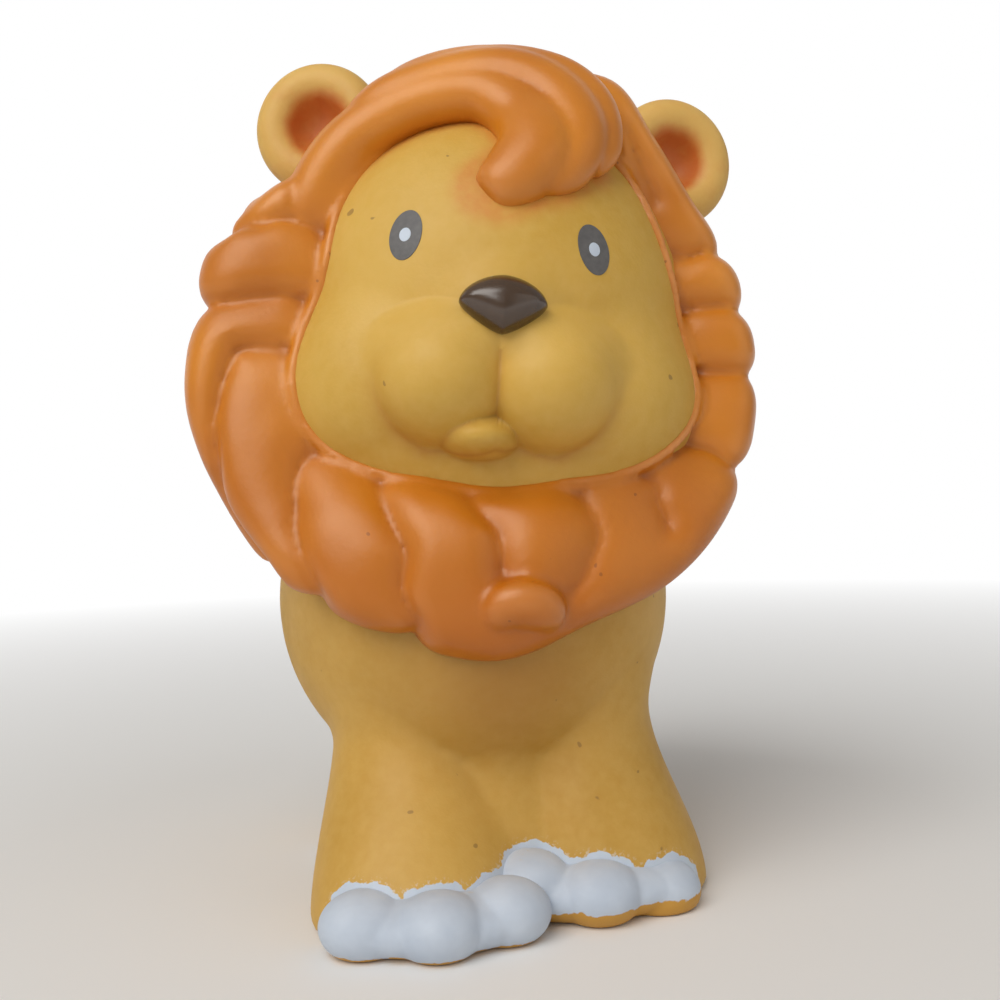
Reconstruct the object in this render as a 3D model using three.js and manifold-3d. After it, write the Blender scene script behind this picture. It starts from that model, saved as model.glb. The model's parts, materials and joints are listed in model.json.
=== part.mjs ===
// Toy lion figure in moulded vinyl, standing on four short legs, its head carried on a turning neck plug.
// Millimetres, +Z up, the floor at zero, the lion facing -Y. Left and right are the lion's own.
import * as THREE from 'three';
import { mergeVertices } from 'three/addons/utils/BufferGeometryUtils.js';
import Module from 'manifold-3d';

const wasm = await Module();
wasm.setup();

// Clearances
const fitGap = 0.3;
const turnGap = 0.35;
const cutOver = 1;

// Neck joint: its centre, the lean of its axis from upright and the turn that the head stands at
const neckHeight = 26;
const neckSetBack = 3;
const neckLean = 45;
const headTurn = -7;
const shoulderRadius = 18.5;
const neckFaceRise = 13.5;

// Neck plug, from the flange in the body to the head that the face moulding grips
const plugStemRadius = 3.2;
const plugStemLength = 2.6;
const plugFlangeRadius = 5.6;
const plugFlangeThickness = 1.8;
const plugHeadRadius = 4.4;
const plugHeadLength = 5;
const plugLeadIn = 0.9;
const neckStubRadius = 7.5;
const neckStubLength = 7;

// Face moulding, each swelling placed from the neck centre
const faceCore = { forward: 6, rise: 22 };
const faceSoftness = 2;
const skull = { apart: 0, forward: 4, rise: 26.3, halfWidth: 17.8, halfDepth: 17.2, halfHeight: 18.2 };
const cheek = { apart: 8, forward: 7, rise: 18, halfWidth: 11, halfDepth: 13, halfHeight: 10 };
const muzzle = { apart: 4.3, forward: 17.5, rise: 18.6, halfWidth: 5.9, halfDepth: 6.5, halfHeight: 5.6 };
const bridge = { apart: 0, forward: 15, rise: 23.5, halfWidth: 5.5, halfDepth: 7.5, halfHeight: 5 };
const chin = { apart: 0, forward: 9.5, rise: 12.5, halfWidth: 13, halfDepth: 9, halfHeight: 7.5 };
const lip = { apart: -1.2, forward: 17.6, rise: 14, halfWidth: 3.4, halfDepth: 5.1, halfHeight: 1.9 };

// Nose
const noseRise = 24.1;
const noseForward = 22.4;
const noseHalfWidth = 3.2;
const noseTopHeight = 2.3;
const noseBottomHeight = 2.4;
const noseHalfDepth = 1.9;
const noseTip = 18;
const noseTopRoundness = 1.9;
const noseBottomRoundness = 1.35;

// Eyes, printed ovals with a round glint
const eyeApart = 7.65;
const eyeRise = 29.5;
const eyeForward = 18.7;
const eyeHalfWidth = 1.5;
const eyeHalfHeight = 1.95;
const eyeLean = 15;
const eyeInset = 1.4;
const eyeProud = 0.15;
const glintRadius = 0.52;
const glintInset = 0.7;
const glintProud = 0.25;

// Mane: an oval wreath of locks before a hood that wraps the back of the head
const maneRise = 21;
const maneHalfWidth = 25.5;
const maneHalfHeight = 25;
const maneReach = 22;
const lockHalfWidth = 4;
const lockDepthShare = 0.85;
const hoodForward = 0.5;
const hoodRise = 21.5;
const hoodHalfWidth = 24;
const hoodBackDepth = 16.5;
const hoodFrontDepth = 13;
const hoodHalfHeight = 23.5;
const hoodCreaseDepth = 0.7;
const hoodLocks = 12;

// The wreath that the locks lie on, round the face: degrees, then distance out, depth, half width and half depth
const wreathShares = [
  [-88, 0.7, 0.62, 1.3, 1.15], [-69, 0.71, 0.58, 1.26, 1.18], [-50, 0.775, 0.5, 1.15, 1.18],
  [-34, 0.84, 0.42, 1.12, 1.15], [-17, 0.86, 0.34, 0.95, 1.12], [1, 0.855, 0.3, 0.78, 1.12],
  [16, 0.855, 0.28, 0.76, 1.12], [29, 0.86, 0.28, 0.78, 1.12], [43, 0.9, 0.3, 0.78, 1.12],
  [58, 0.94, 0.35, 0.82, 1.08], [71, 0.95, 0.43, 0.86, 0.94], [91, 0.92, 0.49, 0.85, 0.82],
  [109, 0.91, 0.49, 0.78, 0.7], [125, 0.9, 0.47, 0.8, 0.66], [142, 0.88, 0.45, 0.9, 0.7],
  [160, 0.85, 0.45, 1.1, 0.78], [174, 0.85, 0.46, 1.02, 0.8], [189, 0.87, 0.48, 1.0, 0.82],
  [201, 0.87, 0.5, 0.98, 0.9], [217, 0.86, 0.54, 1.04, 0.92], [232, 0.8, 0.59, 1.15, 1.02],
  [250, 0.75, 0.63, 1.32, 1.1],
];
// The slope from the wreath in to the face
const slopeShares = [
  [-89, 0.57, 0.64, 0.95, 0.5], [-37, 0.68, 0.52, 1.25, 0.5], [-14, 0.76, 0.4, 0.95, 0.5], [17, 0.75, 0.35, 0.95, 0.5],
  [44, 0.8, 0.4, 1.0, 0.5], [71, 0.87, 0.43, 0.6, 0.5], [109, 0.87, 0.46, 0.5, 0.5], [140, 0.8, 0.46, 0.7, 0.5],
  [172, 0.73, 0.48, 0.9, 0.5], [202, 0.76, 0.53, 0.9, 0.5], [230, 0.67, 0.6, 0.95, 0.5],
];

// Each lock: degrees round the wreath, then its distance out, its depth and its width as shares of the wreath's
const lockShares = {
  forelockInner: [
    [153, 0.72, 0.48, 0.55], [144, 0.81, 0.52, 0.72], [131, 0.88, 0.55, 0.64], [120, 0.91, 0.6, 0.62],
    [107, 0.92, 0.65, 0.64], [95, 0.9, 0.69, 0.7], [86, 0.8, 0.75, 0.78], [82, 0.68, 0.81, 0.84],
    [87, 0.57, 0.86, 0.82], [98, 0.5, 0.89, 0.72],
  ],
  forelockMiddle: [
    [129, 0.9, 0.52, 0.55], [116, 0.96, 0.56, 0.65], [103, 0.97, 0.6, 0.68], [91, 0.97, 0.64, 0.7],
    [81, 0.91, 0.69, 0.72], [74, 0.79, 0.76, 0.7], [73, 0.65, 0.82, 0.62], [80, 0.54, 0.88, 0.5],
  ],
  forelockOuter: [
    [110, 0.98, 0.52, 0.4], [95, 1.02, 0.56, 0.5], [82, 1.0, 0.6, 0.55], [73, 0.93, 0.65, 0.55],
    [67, 0.8, 0.72, 0.48], [66, 0.67, 0.77, 0.34],
  ],
  crown: [[72, 1.0, 0.54, 0.58], [63, 0.96, 0.51, 0.88], [50, 0.92, 0.46, 0.95], [37, 0.87, 0.43, 0.78]],
  crownInner: [[66, 0.88, 0.5, 0.5], [53, 0.84, 0.46, 0.66], [40, 0.77, 0.41, 0.6]],
  upperBead: [[30, 0.68, 0.36, 0.8], [26, 0.79, 0.42, 0.97], [22, 0.88, 0.4, 0.8]],
  lowerBead: [[14, 0.69, 0.36, 0.82], [11, 0.8, 0.43, 1.0], [8, 0.89, 0.41, 0.85]],
  cheekLock: [[3, 0.74, 0.38, 0.8], [-6, 0.8, 0.45, 1.05], [-17, 0.8, 0.5, 1.02], [-26, 0.83, 0.52, 0.75]],
  sideBump: [[-22, 0.67, 0.5, 0.9], [-28, 0.77, 0.56, 1.17], [-34, 0.85, 0.57, 1.05], [-39, 0.9, 0.54, 0.8]],
  leftBump: [[-48, 0.58, 0.6, 0.8], [-51, 0.67, 0.66, 1.0], [-54, 0.76, 0.66, 0.98], [-57, 0.85, 0.6, 0.8]],
  middleBump: [[-84, 0.56, 0.7, 0.95], [-75, 0.63, 0.73, 1.2], [-71, 0.72, 0.72, 1.15], [-72, 0.8, 0.68, 0.9]],
  bead: [
    [-87, 0.89, 0.93, 0.36], [-87, 0.84, 0.97, 0.46], [-85, 0.81, 0.99, 0.5], [-81, 0.81, 0.99, 0.52],
    [-78, 0.84, 0.97, 0.5], [-78, 0.89, 0.92, 0.42],
  ],
  pointLock: [
    [-120, 0.47, 0.62, 0.8], [-107, 0.59, 0.75, 1.15], [-99, 0.72, 0.79, 1.25], [-91, 0.84, 0.78, 1.12],
    [-86, 0.935, 0.72, 0.85],
  ],
  innerLock: [[-139, 0.61, 0.58, 1.0], [-127, 0.69, 0.67, 1.3], [-117, 0.79, 0.71, 1.34], [-110, 0.9, 0.67, 1.15]],
  broadLock: [
    [183, 0.73, 0.55, 0.95], [196, 0.78, 0.57, 1.32], [209, 0.81, 0.61, 1.42], [223, 0.83, 0.65, 1.34],
    [234, 0.85, 0.69, 1.15], [244, 0.88, 0.71, 0.85],
  ],
  hookLock: [
    [168, 0.64, 0.48, 0.6], [172, 0.76, 0.56, 0.74], [178, 0.87, 0.57, 0.78], [187, 0.925, 0.55, 0.74],
    [197, 0.955, 0.56, 0.66], [208, 0.985, 0.56, 0.58], [219, 1.0, 0.57, 0.45],
  ],
  roundCurl: [[167, 0.97, 0.53, 0.85], [163, 0.87, 0.55, 1.18], [159, 0.78, 0.54, 1.24], [154, 0.68, 0.5, 1.1]],
  smallLock: [[145, 1.0, 0.48, 0.48], [148, 0.93, 0.55, 0.64], [151, 0.87, 0.56, 0.66]],
  crownBack: [
    [166, 0.78, 0.24, 0.6], [146, 0.83, 0.22, 0.85], [124, 0.86, 0.2, 0.92], [90, 0.865, 0.2, 1.05],
    [56, 0.86, 0.2, 0.92], [34, 0.83, 0.22, 0.85], [14, 0.78, 0.24, 0.6],
  ],
  chinRoll: [
    [-142, 0.64, 0.56, 0.8], [-114, 0.56, 0.62, 1.0], [-86, 0.54, 0.64, 1.05], [-59, 0.58, 0.6, 1.0],
    [-32, 0.68, 0.5, 0.8],
  ],
};

// Ears, cupped discs with a rolled rim
const leftEar = { apart: 16.2, rise: 41.7 };
const rightEar = { apart: 16.6, rise: 42.5 };
const earForward = 4.5;
const earRadius = 6;
const earRimRadius = 1.75;
const earCupDepth = 1.6;
const earSplay = 12;
const earRootRadius = 2.2;
const earRootLength = 4;

// Front legs: the right one is a step ahead of the left
const legApart = 7.2;
const legHeight = 16;
const footHalfWidth = 9.2;
const footHalfLength = 9;
const legHalfWidth = 6.6;
const legHalfLength = 8;
const rightFootApart = 7.2;
const leftFootApart = 10;
const rightToesApart = 6.4;
const leftToesApart = 7.4;
const rightFootForward = 9.5;
const leftFootForward = 5.5;
const legForward = 2.4;
const grooveFootShare = 0.68;
const grooveTopShare = 0.9;
const blendInset = 0.3;
const legSoftness = 2.5;
const soleRounding = 0.8;

// Toes, three to a paw
const toeHalfWidth = 3.7;
const toeHalfLength = 3.5;
const toeHalfHeight = 3;
const toeRise = 2.4;
const toeSpread = 5.6;
const toeSetBack = 1.9;
const toeJoin = { setBack: 1.6, rise: 2.2, halfWidth: 7.4, halfLength: 3.7, halfHeight: 2.8 };

// Hind legs, rump and barrel
const hindSetBack = 18;
const hindApart = 6.6;
const hindStagger = 1.5;
const rump = { apart: 0, forward: -17, rise: 23, halfWidth: 15.5, halfDepth: 12.5, halfHeight: 12.5 };
const barrel = { apart: 0, forward: -12, rise: 22.5, halfWidth: rump.halfWidth, halfDepth: 16, halfHeight: 13 };
const haunchHalfWidth = 6.6;
const haunchHalfLength = 8;
const haunchHeight = 18;

// Tail, lying round the left haunch, and its tuft
const tailRadius = 1.9;
const tailSeatShare = 0.75;
const tailRise = 27;
const tailTurns = [90, 72, 52, 30, 8, -8];
const tailRiseShares = [1, 0.9, 0.75, 0.66, 0.7, 0.8];
const tuftHalfWidth = 3.2;
const tuftTipShare = 0.6;
const tailBluntness = 6;
const tuftBluntness = 2;
const tuftTurns = [-10, -22, -38];
const tuftRiseShares = [0.82, 0.93, 1.02];

// Facet counts
const faceFacets = [44, 28];
const roomFacets = [32, 20];
const hoodFacets = [48, 16];
const wreathFacets = [10, 44];
const slopeFacets = [6, 28];
const lockFacets = [12, 10];
const strandFacets = [12, 20];
const bodyFacets = [48, 14];
const hindFacets = [32, 10];
const ballFacets = [24, 12];
const turnedFacets = 36;
const arcSteps = 10;
const earFacets = 24;
const earSteps = 6;
const smallFacets = [10, 8];
const ovalFacets = 20;
const mouldings = {
  vinyl: 0xd2a24c, maneVinyl: 0xcf6b22, brown: 0x4a3420, print: 0x5f5d5b, white: 0xdfe4ea, plug: 0xe8e4da,
};

const degrees = Math.PI / 180;
const neckAxis = new THREE.Vector3(0, -Math.sin(neckLean * degrees), Math.cos(neckLean * degrees));
const neckCentre = new THREE.Vector3(0, neckSetBack, neckHeight);

// A closed solid from a geometry: equal points joined and empty facets dropped
function solid(geometry) {
  const bare = new THREE.BufferGeometry();
  bare.setAttribute('position', geometry.getAttribute('position').clone());
  bare.setIndex(geometry.getIndex());
  const merged = mergeVertices(bare);
  const corners = merged.getIndex().array;
  const kept = [];
  for (let i = 0; i < corners.length; i += 3) {
    const [a, b, c] = [corners[i], corners[i + 1], corners[i + 2]];
    if (a !== b && b !== c && a !== c) kept.push(a, b, c);
  }
  return new wasm.Manifold(new wasm.Mesh({
    numProp: 3,
    vertProperties: new Float32Array(merged.getAttribute('position').array),
    triVerts: new Uint32Array(kept),
  }));
}

function surfaceOf(shape) {
  const mesh = shape.getMesh();
  const geometry = new THREE.BufferGeometry();
  geometry.setAttribute('position', new THREE.BufferAttribute(new Float32Array(mesh.vertProperties), 3));
  geometry.setIndex(new THREE.BufferAttribute(new Uint32Array(mesh.triVerts), 1));
  geometry.computeVertexNormals();
  return geometry;
}

function union(shapes) {
  return shapes.reduce((sum, shape) => sum.add(shape));
}

// A swelling on one side or the other, grown all round by a gap
function lump(size, side, grow) {
  return {
    centre: new THREE.Vector3(side * size.apart, -size.forward, size.rise),
    radii: new THREE.Vector3(size.halfWidth + grow, size.halfDepth + grow, size.halfHeight + grow),
  };
}

// How far a ray from a point runs before it leaves an ellipsoid, or zero if it misses it
function exitDistance(from, along, ellipsoid) {
  const start = from.clone().sub(ellipsoid.centre).divide(ellipsoid.radii);
  const step = along.clone().divide(ellipsoid.radii);
  const a = step.dot(step);
  const b = start.dot(step);
  const c = start.dot(start) - 1;
  const inside = b * b - a * c;
  return inside > 0 ? Math.max(0, (Math.sqrt(inside) - b) / a) : 0;
}

// The largest of several distances, the crease between two that are nearly equal filled smoothly
function softLargest(distances, softness) {
  return distances.reduce((most, distance) => {
    const near = Math.max(0, softness - Math.abs(most - distance)) / softness;
    return Math.max(most, distance) + near * near * softness / 4;
  });
}

// A closed surface round a core point, its poles on the Y axis, at a distance that depends on the direction
function swelling(core, reach, facets) {
  const geometry = new THREE.SphereGeometry(1, facets[0], facets[1]);
  const points = geometry.getAttribute('position');
  const along = new THREE.Vector3();
  for (let i = 0; i < points.count; i += 1) {
    along.fromBufferAttribute(points, i).normalize();
    const distance = reach(along);
    points.setXYZ(i, core.x + along.x * distance, core.y + along.y * distance, core.z + along.z * distance);
  }
  return geometry;
}

function ellipsoidSolid(centre, halfWidth, halfLength, halfHeight, facets) {
  const geometry = new THREE.SphereGeometry(1, facets[0], facets[1]);
  geometry.rotateX(Math.PI / 2).scale(halfWidth, halfLength, halfHeight).translate(centre.x, centre.y, centre.z);
  return solid(geometry);
}

// A profile turned about the neck axis, its points given as distance out and height along the axis
function turned(profile) {
  const points = profile.map(([out, up]) => new THREE.Vector2(out, up));
  const geometry = new THREE.LatheGeometry(points, turnedFacets);
  geometry.rotateX(Math.PI / 2 + neckLean * degrees);
  return solid(geometry);
}

// The shoulder ball, cut flat at the neck face, about the neck centre
function shoulderBall(grow) {
  const radius = shoulderRadius + grow;
  const top = neckFaceRise + grow;
  const last = Math.acos(top / radius);
  const arc = [];
  for (let i = 0; i <= arcSteps; i += 1) {
    const angle = Math.PI + (last - Math.PI) * (i / arcSteps);
    arc.push([i === 0 ? 0 : radius * Math.sin(angle), radius * Math.cos(angle)]);
  }
  return turned([...arc, [0, top]]);
}

// The plug: flange, stem and head, turned about the neck axis
function plugProfile(grow) {
  const flangeTop = neckFaceRise - plugStemLength;
  const flangeBase = flangeTop - plugFlangeThickness - grow;
  const headTop = neckFaceRise + plugHeadLength + grow;
  return [
    [0, flangeBase],
    [plugFlangeRadius + grow, flangeBase],
    [plugFlangeRadius + grow, flangeTop + grow],
    [plugStemRadius + grow, flangeTop + grow],
    [plugStemRadius + grow, neckFaceRise + turnGap - grow],
    [plugHeadRadius + grow, neckFaceRise + turnGap - grow],
    [plugHeadRadius + grow, headTop - plugLeadIn],
    [plugHeadRadius + grow - plugLeadIn, headTop],
    [0, headTop],
  ];
}

// The body keeps a chamber for the flange and a throat for the stem, open at the neck face
function plugChamber() {
  const flangeTop = neckFaceRise - plugStemLength + fitGap;
  const floor = neckFaceRise - plugStemLength - plugFlangeThickness - fitGap;
  return turned([
    [0, floor],
    [plugFlangeRadius + fitGap, floor],
    [plugFlangeRadius + fitGap, flangeTop],
    [plugStemRadius + fitGap, flangeTop],
    [plugStemRadius + fitGap, neckFaceRise + cutOver],
    [0, neckFaceRise + cutOver],
  ]);
}

function cylinderOnNeck(radius, from, to) {
  return turned([[0, from], [radius, from], [radius, to], [0, to]]);
}

// Face moulding
const faceCorePoint = new THREE.Vector3(0, -faceCore.forward, faceCore.rise);

function faceReach(grow) {
  const lumps = [
    lump(skull, 1, grow), lump(cheek, 1, grow), lump(cheek, -1, grow), lump(muzzle, 1, grow),
    lump(muzzle, -1, grow), lump(bridge, 1, grow), lump(chin, 1, grow), lump(lip, 1, grow),
  ];
  return (along) => softLargest(lumps.map((l) => exitDistance(faceCorePoint, along, l)), faceSoftness);
}

function faceShape(grow, facets = faceFacets) {
  return solid(swelling(faceCorePoint, faceReach(grow), facets));
}

function neckStub(grow) {
  return cylinderOnNeck(neckStubRadius + grow, neckFaceRise + turnGap - grow, neckFaceRise + neckStubLength);
}

// Nose: domed, its top edge an arch and its lower edges running to a blunt point
function noseShape(grow) {
  const geometry = new THREE.SphereGeometry(1, ovalFacets, smallFacets[0]);
  const points = geometry.getAttribute('position');
  for (let i = 0; i < points.count; i += 1) {
    const [x, y, z] = [points.getX(i), points.getY(i), points.getZ(i)];
    const out = Math.hypot(x, z);
    const angle = Math.atan2(z, x);
    const upper = Math.sin(angle) > 0;
    const roundness = upper ? noseTopRoundness : noseBottomRoundness;
    const height = upper ? noseTopHeight : noseBottomHeight;
    const edge = (Math.abs(Math.cos(angle) / noseHalfWidth) ** roundness
      + Math.abs(Math.sin(angle) / height) ** roundness) ** (-1 / roundness) + grow;
    points.setXYZ(i, Math.cos(angle) * edge * out, y * (noseHalfDepth + grow), Math.sin(angle) * edge * out);
  }
  geometry.rotateX(-noseTip * degrees).translate(0, -noseForward, noseRise);
  return solid(geometry);
}

// A straight oval peg through the face at an eye, from below the surface to beyond it
function eyePeg(side, halfWidth, halfHeight, inset, over) {
  const aim = new THREE.Vector3(side * eyeApart, -eyeForward, eyeRise).sub(faceCorePoint).normalize();
  const surface = faceCorePoint.clone().addScaledVector(aim, faceReach(0)(aim));
  const geometry = new THREE.CylinderGeometry(1, 1, 1, ovalFacets);
  geometry.scale(halfWidth, inset + over, halfHeight).translate(0, (over - inset) / 2, 0);
  const right = new THREE.Vector3().crossVectors(aim, new THREE.Vector3(0, 0, 1)).normalize();
  const up = new THREE.Vector3().crossVectors(right, aim);
  const lean = new THREE.Matrix4().makeRotationAxis(aim, side * eyeLean * degrees);
  geometry.applyMatrix4(new THREE.Matrix4().makeBasis(right, aim, up)).applyMatrix4(lean);
  geometry.translate(surface.x, surface.y, surface.z);
  return solid(geometry);
}

function glintShape(side) {
  return eyePeg(side, glintRadius, glintRadius, glintInset, cutOver).intersect(faceShape(glintProud));
}

function eyeShape(side) {
  const oval = eyePeg(side, eyeHalfWidth, eyeHalfHeight, eyeInset, cutOver).intersect(faceShape(eyeProud));
  return oval.subtract(eyePeg(side, glintRadius + fitGap, glintRadius + fitGap, glintInset + fitGap, cutOver));
}

function eyeSeat(side) {
  return eyePeg(side, eyeHalfWidth + fitGap, eyeHalfHeight + fitGap, eyeInset + fitGap, cutOver);
}

// Ears: a disc turned with a rolled rim and a cupped front, on a short root
function earShape(side, grow) {
  const rim = earRimRadius + grow;
  const centre = earRadius - earRimRadius;
  const profile = [[0, -rim]];
  for (let i = 0; i <= earSteps; i += 1) {
    const angle = Math.PI * (i / earSteps - 0.5);
    profile.push([centre + rim * Math.cos(angle), rim * Math.sin(angle)]);
  }
  const cup = rim - earCupDepth;
  profile.push([centre - earRimRadius * Math.SQRT1_2, (rim + cup) / 2], [0, cup]);
  const points = profile.map(([out, up]) => new THREE.Vector2(out, up));
  const disc = new THREE.LatheGeometry(points, earFacets);
  disc.rotateX(Math.PI);
  const rootLength = earRootLength + earRimRadius + grow;
  const root = new THREE.CylinderGeometry(earRootRadius + grow, earRootRadius + grow, rootLength, smallFacets[0]);
  root.rotateX(Math.PI / 2).translate(0, 0, earRimRadius - earRadius - rootLength / 2);
  root.rotateY(side * Math.PI / 4);
  const ear = union([solid(disc), solid(root)]);
  const place = side > 0 ? leftEar : rightEar;
  return ear.rotate([0, 0, side * earSplay]).translate([side * place.apart, -earForward, place.rise]);
}

// Mane
function wreathPoint([around, out, depth]) {
  const angle = around * degrees;
  return new THREE.Vector3(
    maneHalfWidth * out * Math.cos(angle),
    -maneReach * depth,
    maneRise + maneHalfHeight * out * Math.sin(angle),
  );
}

// One lock: a sphere drawn out along a curve, as wide and as deep as its shares say
function lockShape(shares) {
  const curve = new THREE.CatmullRomCurve3(shares.map(wreathPoint));
  const widths = new THREE.SplineCurve(shares.map((row, i) => new THREE.Vector2(i, row[3])));
  const blunt = shares.length > 3 ? 4 : 2.6;
  const facets = shares.length > 5 ? strandFacets : lockFacets;
  const geometry = new THREE.SphereGeometry(1, facets[0], facets[1]);
  const points = geometry.getAttribute('position');
  const core = new THREE.Vector3(0, 0, maneRise);
  for (let i = 0; i < points.count; i += 1) {
    const y = THREE.MathUtils.clamp(points.getY(i), -1, 1);
    const ring = Math.hypot(points.getX(i), points.getZ(i));
    const around = Math.atan2(points.getZ(i), points.getX(i));
    const t = 0.5 - Math.asin(y) / Math.PI;
    const place = curve.getPoint(t);
    const tangent = curve.getTangent(t);
    const outward = place.clone().sub(core).normalize();
    const across = new THREE.Vector3().crossVectors(tangent, outward).normalize();
    const off = new THREE.Vector3().crossVectors(tangent, across);
    const rounded = ring < 1e-6 ? 0 : (1 - Math.abs(2 * t - 1) ** blunt) ** (1 / blunt);
    const half = lockHalfWidth * widths.getPoint(t).y * rounded;
    place.addScaledVector(across, half * Math.cos(around));
    place.addScaledVector(off, half * lockDepthShare * Math.sin(around));
    points.setXYZ(i, place.x, place.y, place.z);
  }
  return solid(geometry);
}

// A closed ring round the face whose oval tube follows its shares
function ringShape(shares, facets) {
  const curve = new THREE.CatmullRomCurve3(shares.map(wreathPoint), true);
  const widths = new THREE.CatmullRomCurve3(shares.map((row) => new THREE.Vector3(row[3], row[4], 0)), true);
  const geometry = new THREE.TorusGeometry(2, 1, facets[0], facets[1]);
  const points = geometry.getAttribute('position');
  const core = new THREE.Vector3(0, 0, maneRise);
  for (let i = 0; i < points.count; i += 1) {
    const [x, y, z] = [points.getX(i), points.getY(i), points.getZ(i)];
    const t = (Math.atan2(y, x) / (2 * Math.PI) + 1) % 1;
    const around = Math.atan2(z, Math.hypot(x, y) - 2);
    const place = curve.getPoint(t);
    const outward = place.clone().sub(core);
    outward.y = 0;
    outward.normalize();
    const half = widths.getPoint(t).multiplyScalar(lockHalfWidth);
    place.addScaledVector(outward, half.x * Math.cos(around));
    place.y -= half.y * Math.sin(around);
    points.setXYZ(i, place.x, place.y, place.z);
  }
  return solid(geometry);
}

function hoodShape() {
  const core = new THREE.Vector3(0, -hoodForward, hoodRise);
  return solid(swelling(core, (along) => {
    const depth = along.y > 0 ? hoodBackDepth : hoodFrontDepth;
    const size = { centre: core, radii: new THREE.Vector3(hoodHalfWidth, depth, hoodHalfHeight) };
    const around = Math.atan2(along.z, along.x) + along.y;
    const crease = 1 - Math.abs(Math.sin((around * hoodLocks) / 2));
    const fade = Math.hypot(along.x, along.z);
    return exitDistance(core, along, size) - hoodCreaseDepth * crease * fade;
  }, hoodFacets));
}

// Body: at each height, how far the outline of an ellipse lies from an upright axis
function sectionExit(axis, angle, centreX, centreY, halfWidth, halfLength) {
  if (halfWidth <= 0 || halfLength <= 0) return 0;
  const from = new THREE.Vector3(axis.x, axis.y, 0);
  const along = new THREE.Vector3(Math.cos(angle), Math.sin(angle), 0);
  const centre = new THREE.Vector3(centreX, centreY, 0);
  return exitDistance(from, along, { centre, radii: new THREE.Vector3(halfWidth, halfLength, 1) });
}

// An upright loft: a cylinder whose every ring follows the sections at its height, rounded in at the sole
function uprightLoft(axis, top, sections, facets, grow) {
  const geometry = new THREE.CylinderGeometry(1, 1, 1, facets[0], facets[1]);
  geometry.rotateX(Math.PI / 2);
  const points = geometry.getAttribute('position');
  for (let i = 0; i < points.count; i += 1) {
    const height = (points.getZ(i) + 0.5) * top;
    const ring = Math.min(1, Math.hypot(points.getX(i), points.getY(i)));
    const angle = Math.atan2(points.getY(i), points.getX(i));
    const low = Math.max(0, soleRounding - height);
    const inset = soleRounding - Math.sqrt(Math.max(0, soleRounding ** 2 - low ** 2));
    const reach = softLargest(sections(height, angle), legSoftness) - inset + grow;
    const level = height > 0 ? height : -grow;
    points.setXYZ(i, axis.x + ring * reach * Math.cos(angle), axis.y + ring * reach * Math.sin(angle), level);
  }
  return solid(geometry);
}

// A leg's section, easing from the wide foot to the top of the leg
function legSection(axis, angle, height, leg) {
  const ease = THREE.MathUtils.smoothstep(height, 0, leg.height);
  const halfWidth = THREE.MathUtils.lerp(leg.footWidth, leg.topWidth, ease);
  const halfLength = THREE.MathUtils.lerp(leg.footLength, leg.topLength, ease);
  const centreY = THREE.MathUtils.lerp(leg.footY, leg.topY, ease);
  const centreX = THREE.MathUtils.lerp(leg.footX, leg.topX, ease);
  return sectionExit(axis, angle, centreX, centreY, halfWidth, halfLength);
}

function ballSection(axis, angle, height, centreY, centreZ, halfWidth, halfLength, halfHeight) {
  const share = 1 - ((height - centreZ) / halfHeight) ** 2;
  if (share <= 0) return 0;
  const scale = Math.sqrt(share);
  return sectionExit(axis, angle, 0, centreY, halfWidth * scale, halfLength * scale);
}

const frontLegs = [
  {
    footX: -rightFootApart, toesX: -rightToesApart, topX: -legApart, footY: -rightFootForward, topY: -legForward,
    footWidth: footHalfWidth, topWidth: legHalfWidth, footLength: footHalfLength, topLength: legHalfLength,
    height: legHeight,
  },
  {
    footX: leftFootApart, toesX: leftToesApart, topX: legApart, footY: -leftFootForward, topY: -legForward,
    footWidth: footHalfWidth, topWidth: legHalfWidth, footLength: footHalfLength, topLength: legHalfLength,
    height: legHeight,
  },
];
const hindLegs = [-1, 1].map((side) => ({
  footX: side * hindApart,
  toesX: side * hindApart,
  topX: side * hindApart,
  height: haunchHeight,
  footWidth: footHalfWidth,
  topWidth: haunchHalfWidth,
  footLength: footHalfLength,
  topLength: haunchHalfLength,
  footY: hindSetBack + side * hindStagger,
  topY: hindSetBack,
}));
const frontAxis = new THREE.Vector2(0, -(rightFootForward + leftFootForward) / 2);
const hindAxis = new THREE.Vector2(0, hindSetBack);

// What fills between a pair of legs, leaving a shallow groove
function grooveFill(pair) {
  const [right, left] = pair;
  return {
    footX: 0,
    topX: 0,
    height: left.height,
    footWidth: (left.footX - right.footX) / 2,
    topWidth: (left.topX - right.topX) / 2,
    footLength: left.footLength * grooveFootShare,
    topLength: left.topLength * grooveTopShare,
    footY: (left.footY + right.footY) / 2,
    topY: left.topY,
  };
}

const chestBlend = shoulderRadius - blendInset;

function frontBlock(grow) {
  return uprightLoft(frontAxis, neckHeight, (height, angle) => [
    legSection(frontAxis, angle, height, frontLegs[0]),
    legSection(frontAxis, angle, height, frontLegs[1]),
    legSection(frontAxis, angle, height, grooveFill(frontLegs)),
    ballSection(frontAxis, angle, height, neckSetBack, neckHeight, chestBlend, chestBlend, chestBlend),
  ], bodyFacets, grow);
}

function hindSections(height, angle) {
  return [
    legSection(hindAxis, angle, height, hindLegs[0]),
    legSection(hindAxis, angle, height, hindLegs[1]),
    legSection(hindAxis, angle, height, grooveFill(hindLegs)),
    ballSection(
      hindAxis, angle, height, -rump.forward, rump.rise,
      rump.halfWidth - blendInset, rump.halfDepth - blendInset, rump.halfHeight,
    ),
  ];
}

function hindBlock(grow) {
  return uprightLoft(hindAxis, rump.rise, hindSections, hindFacets, grow);
}

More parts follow.
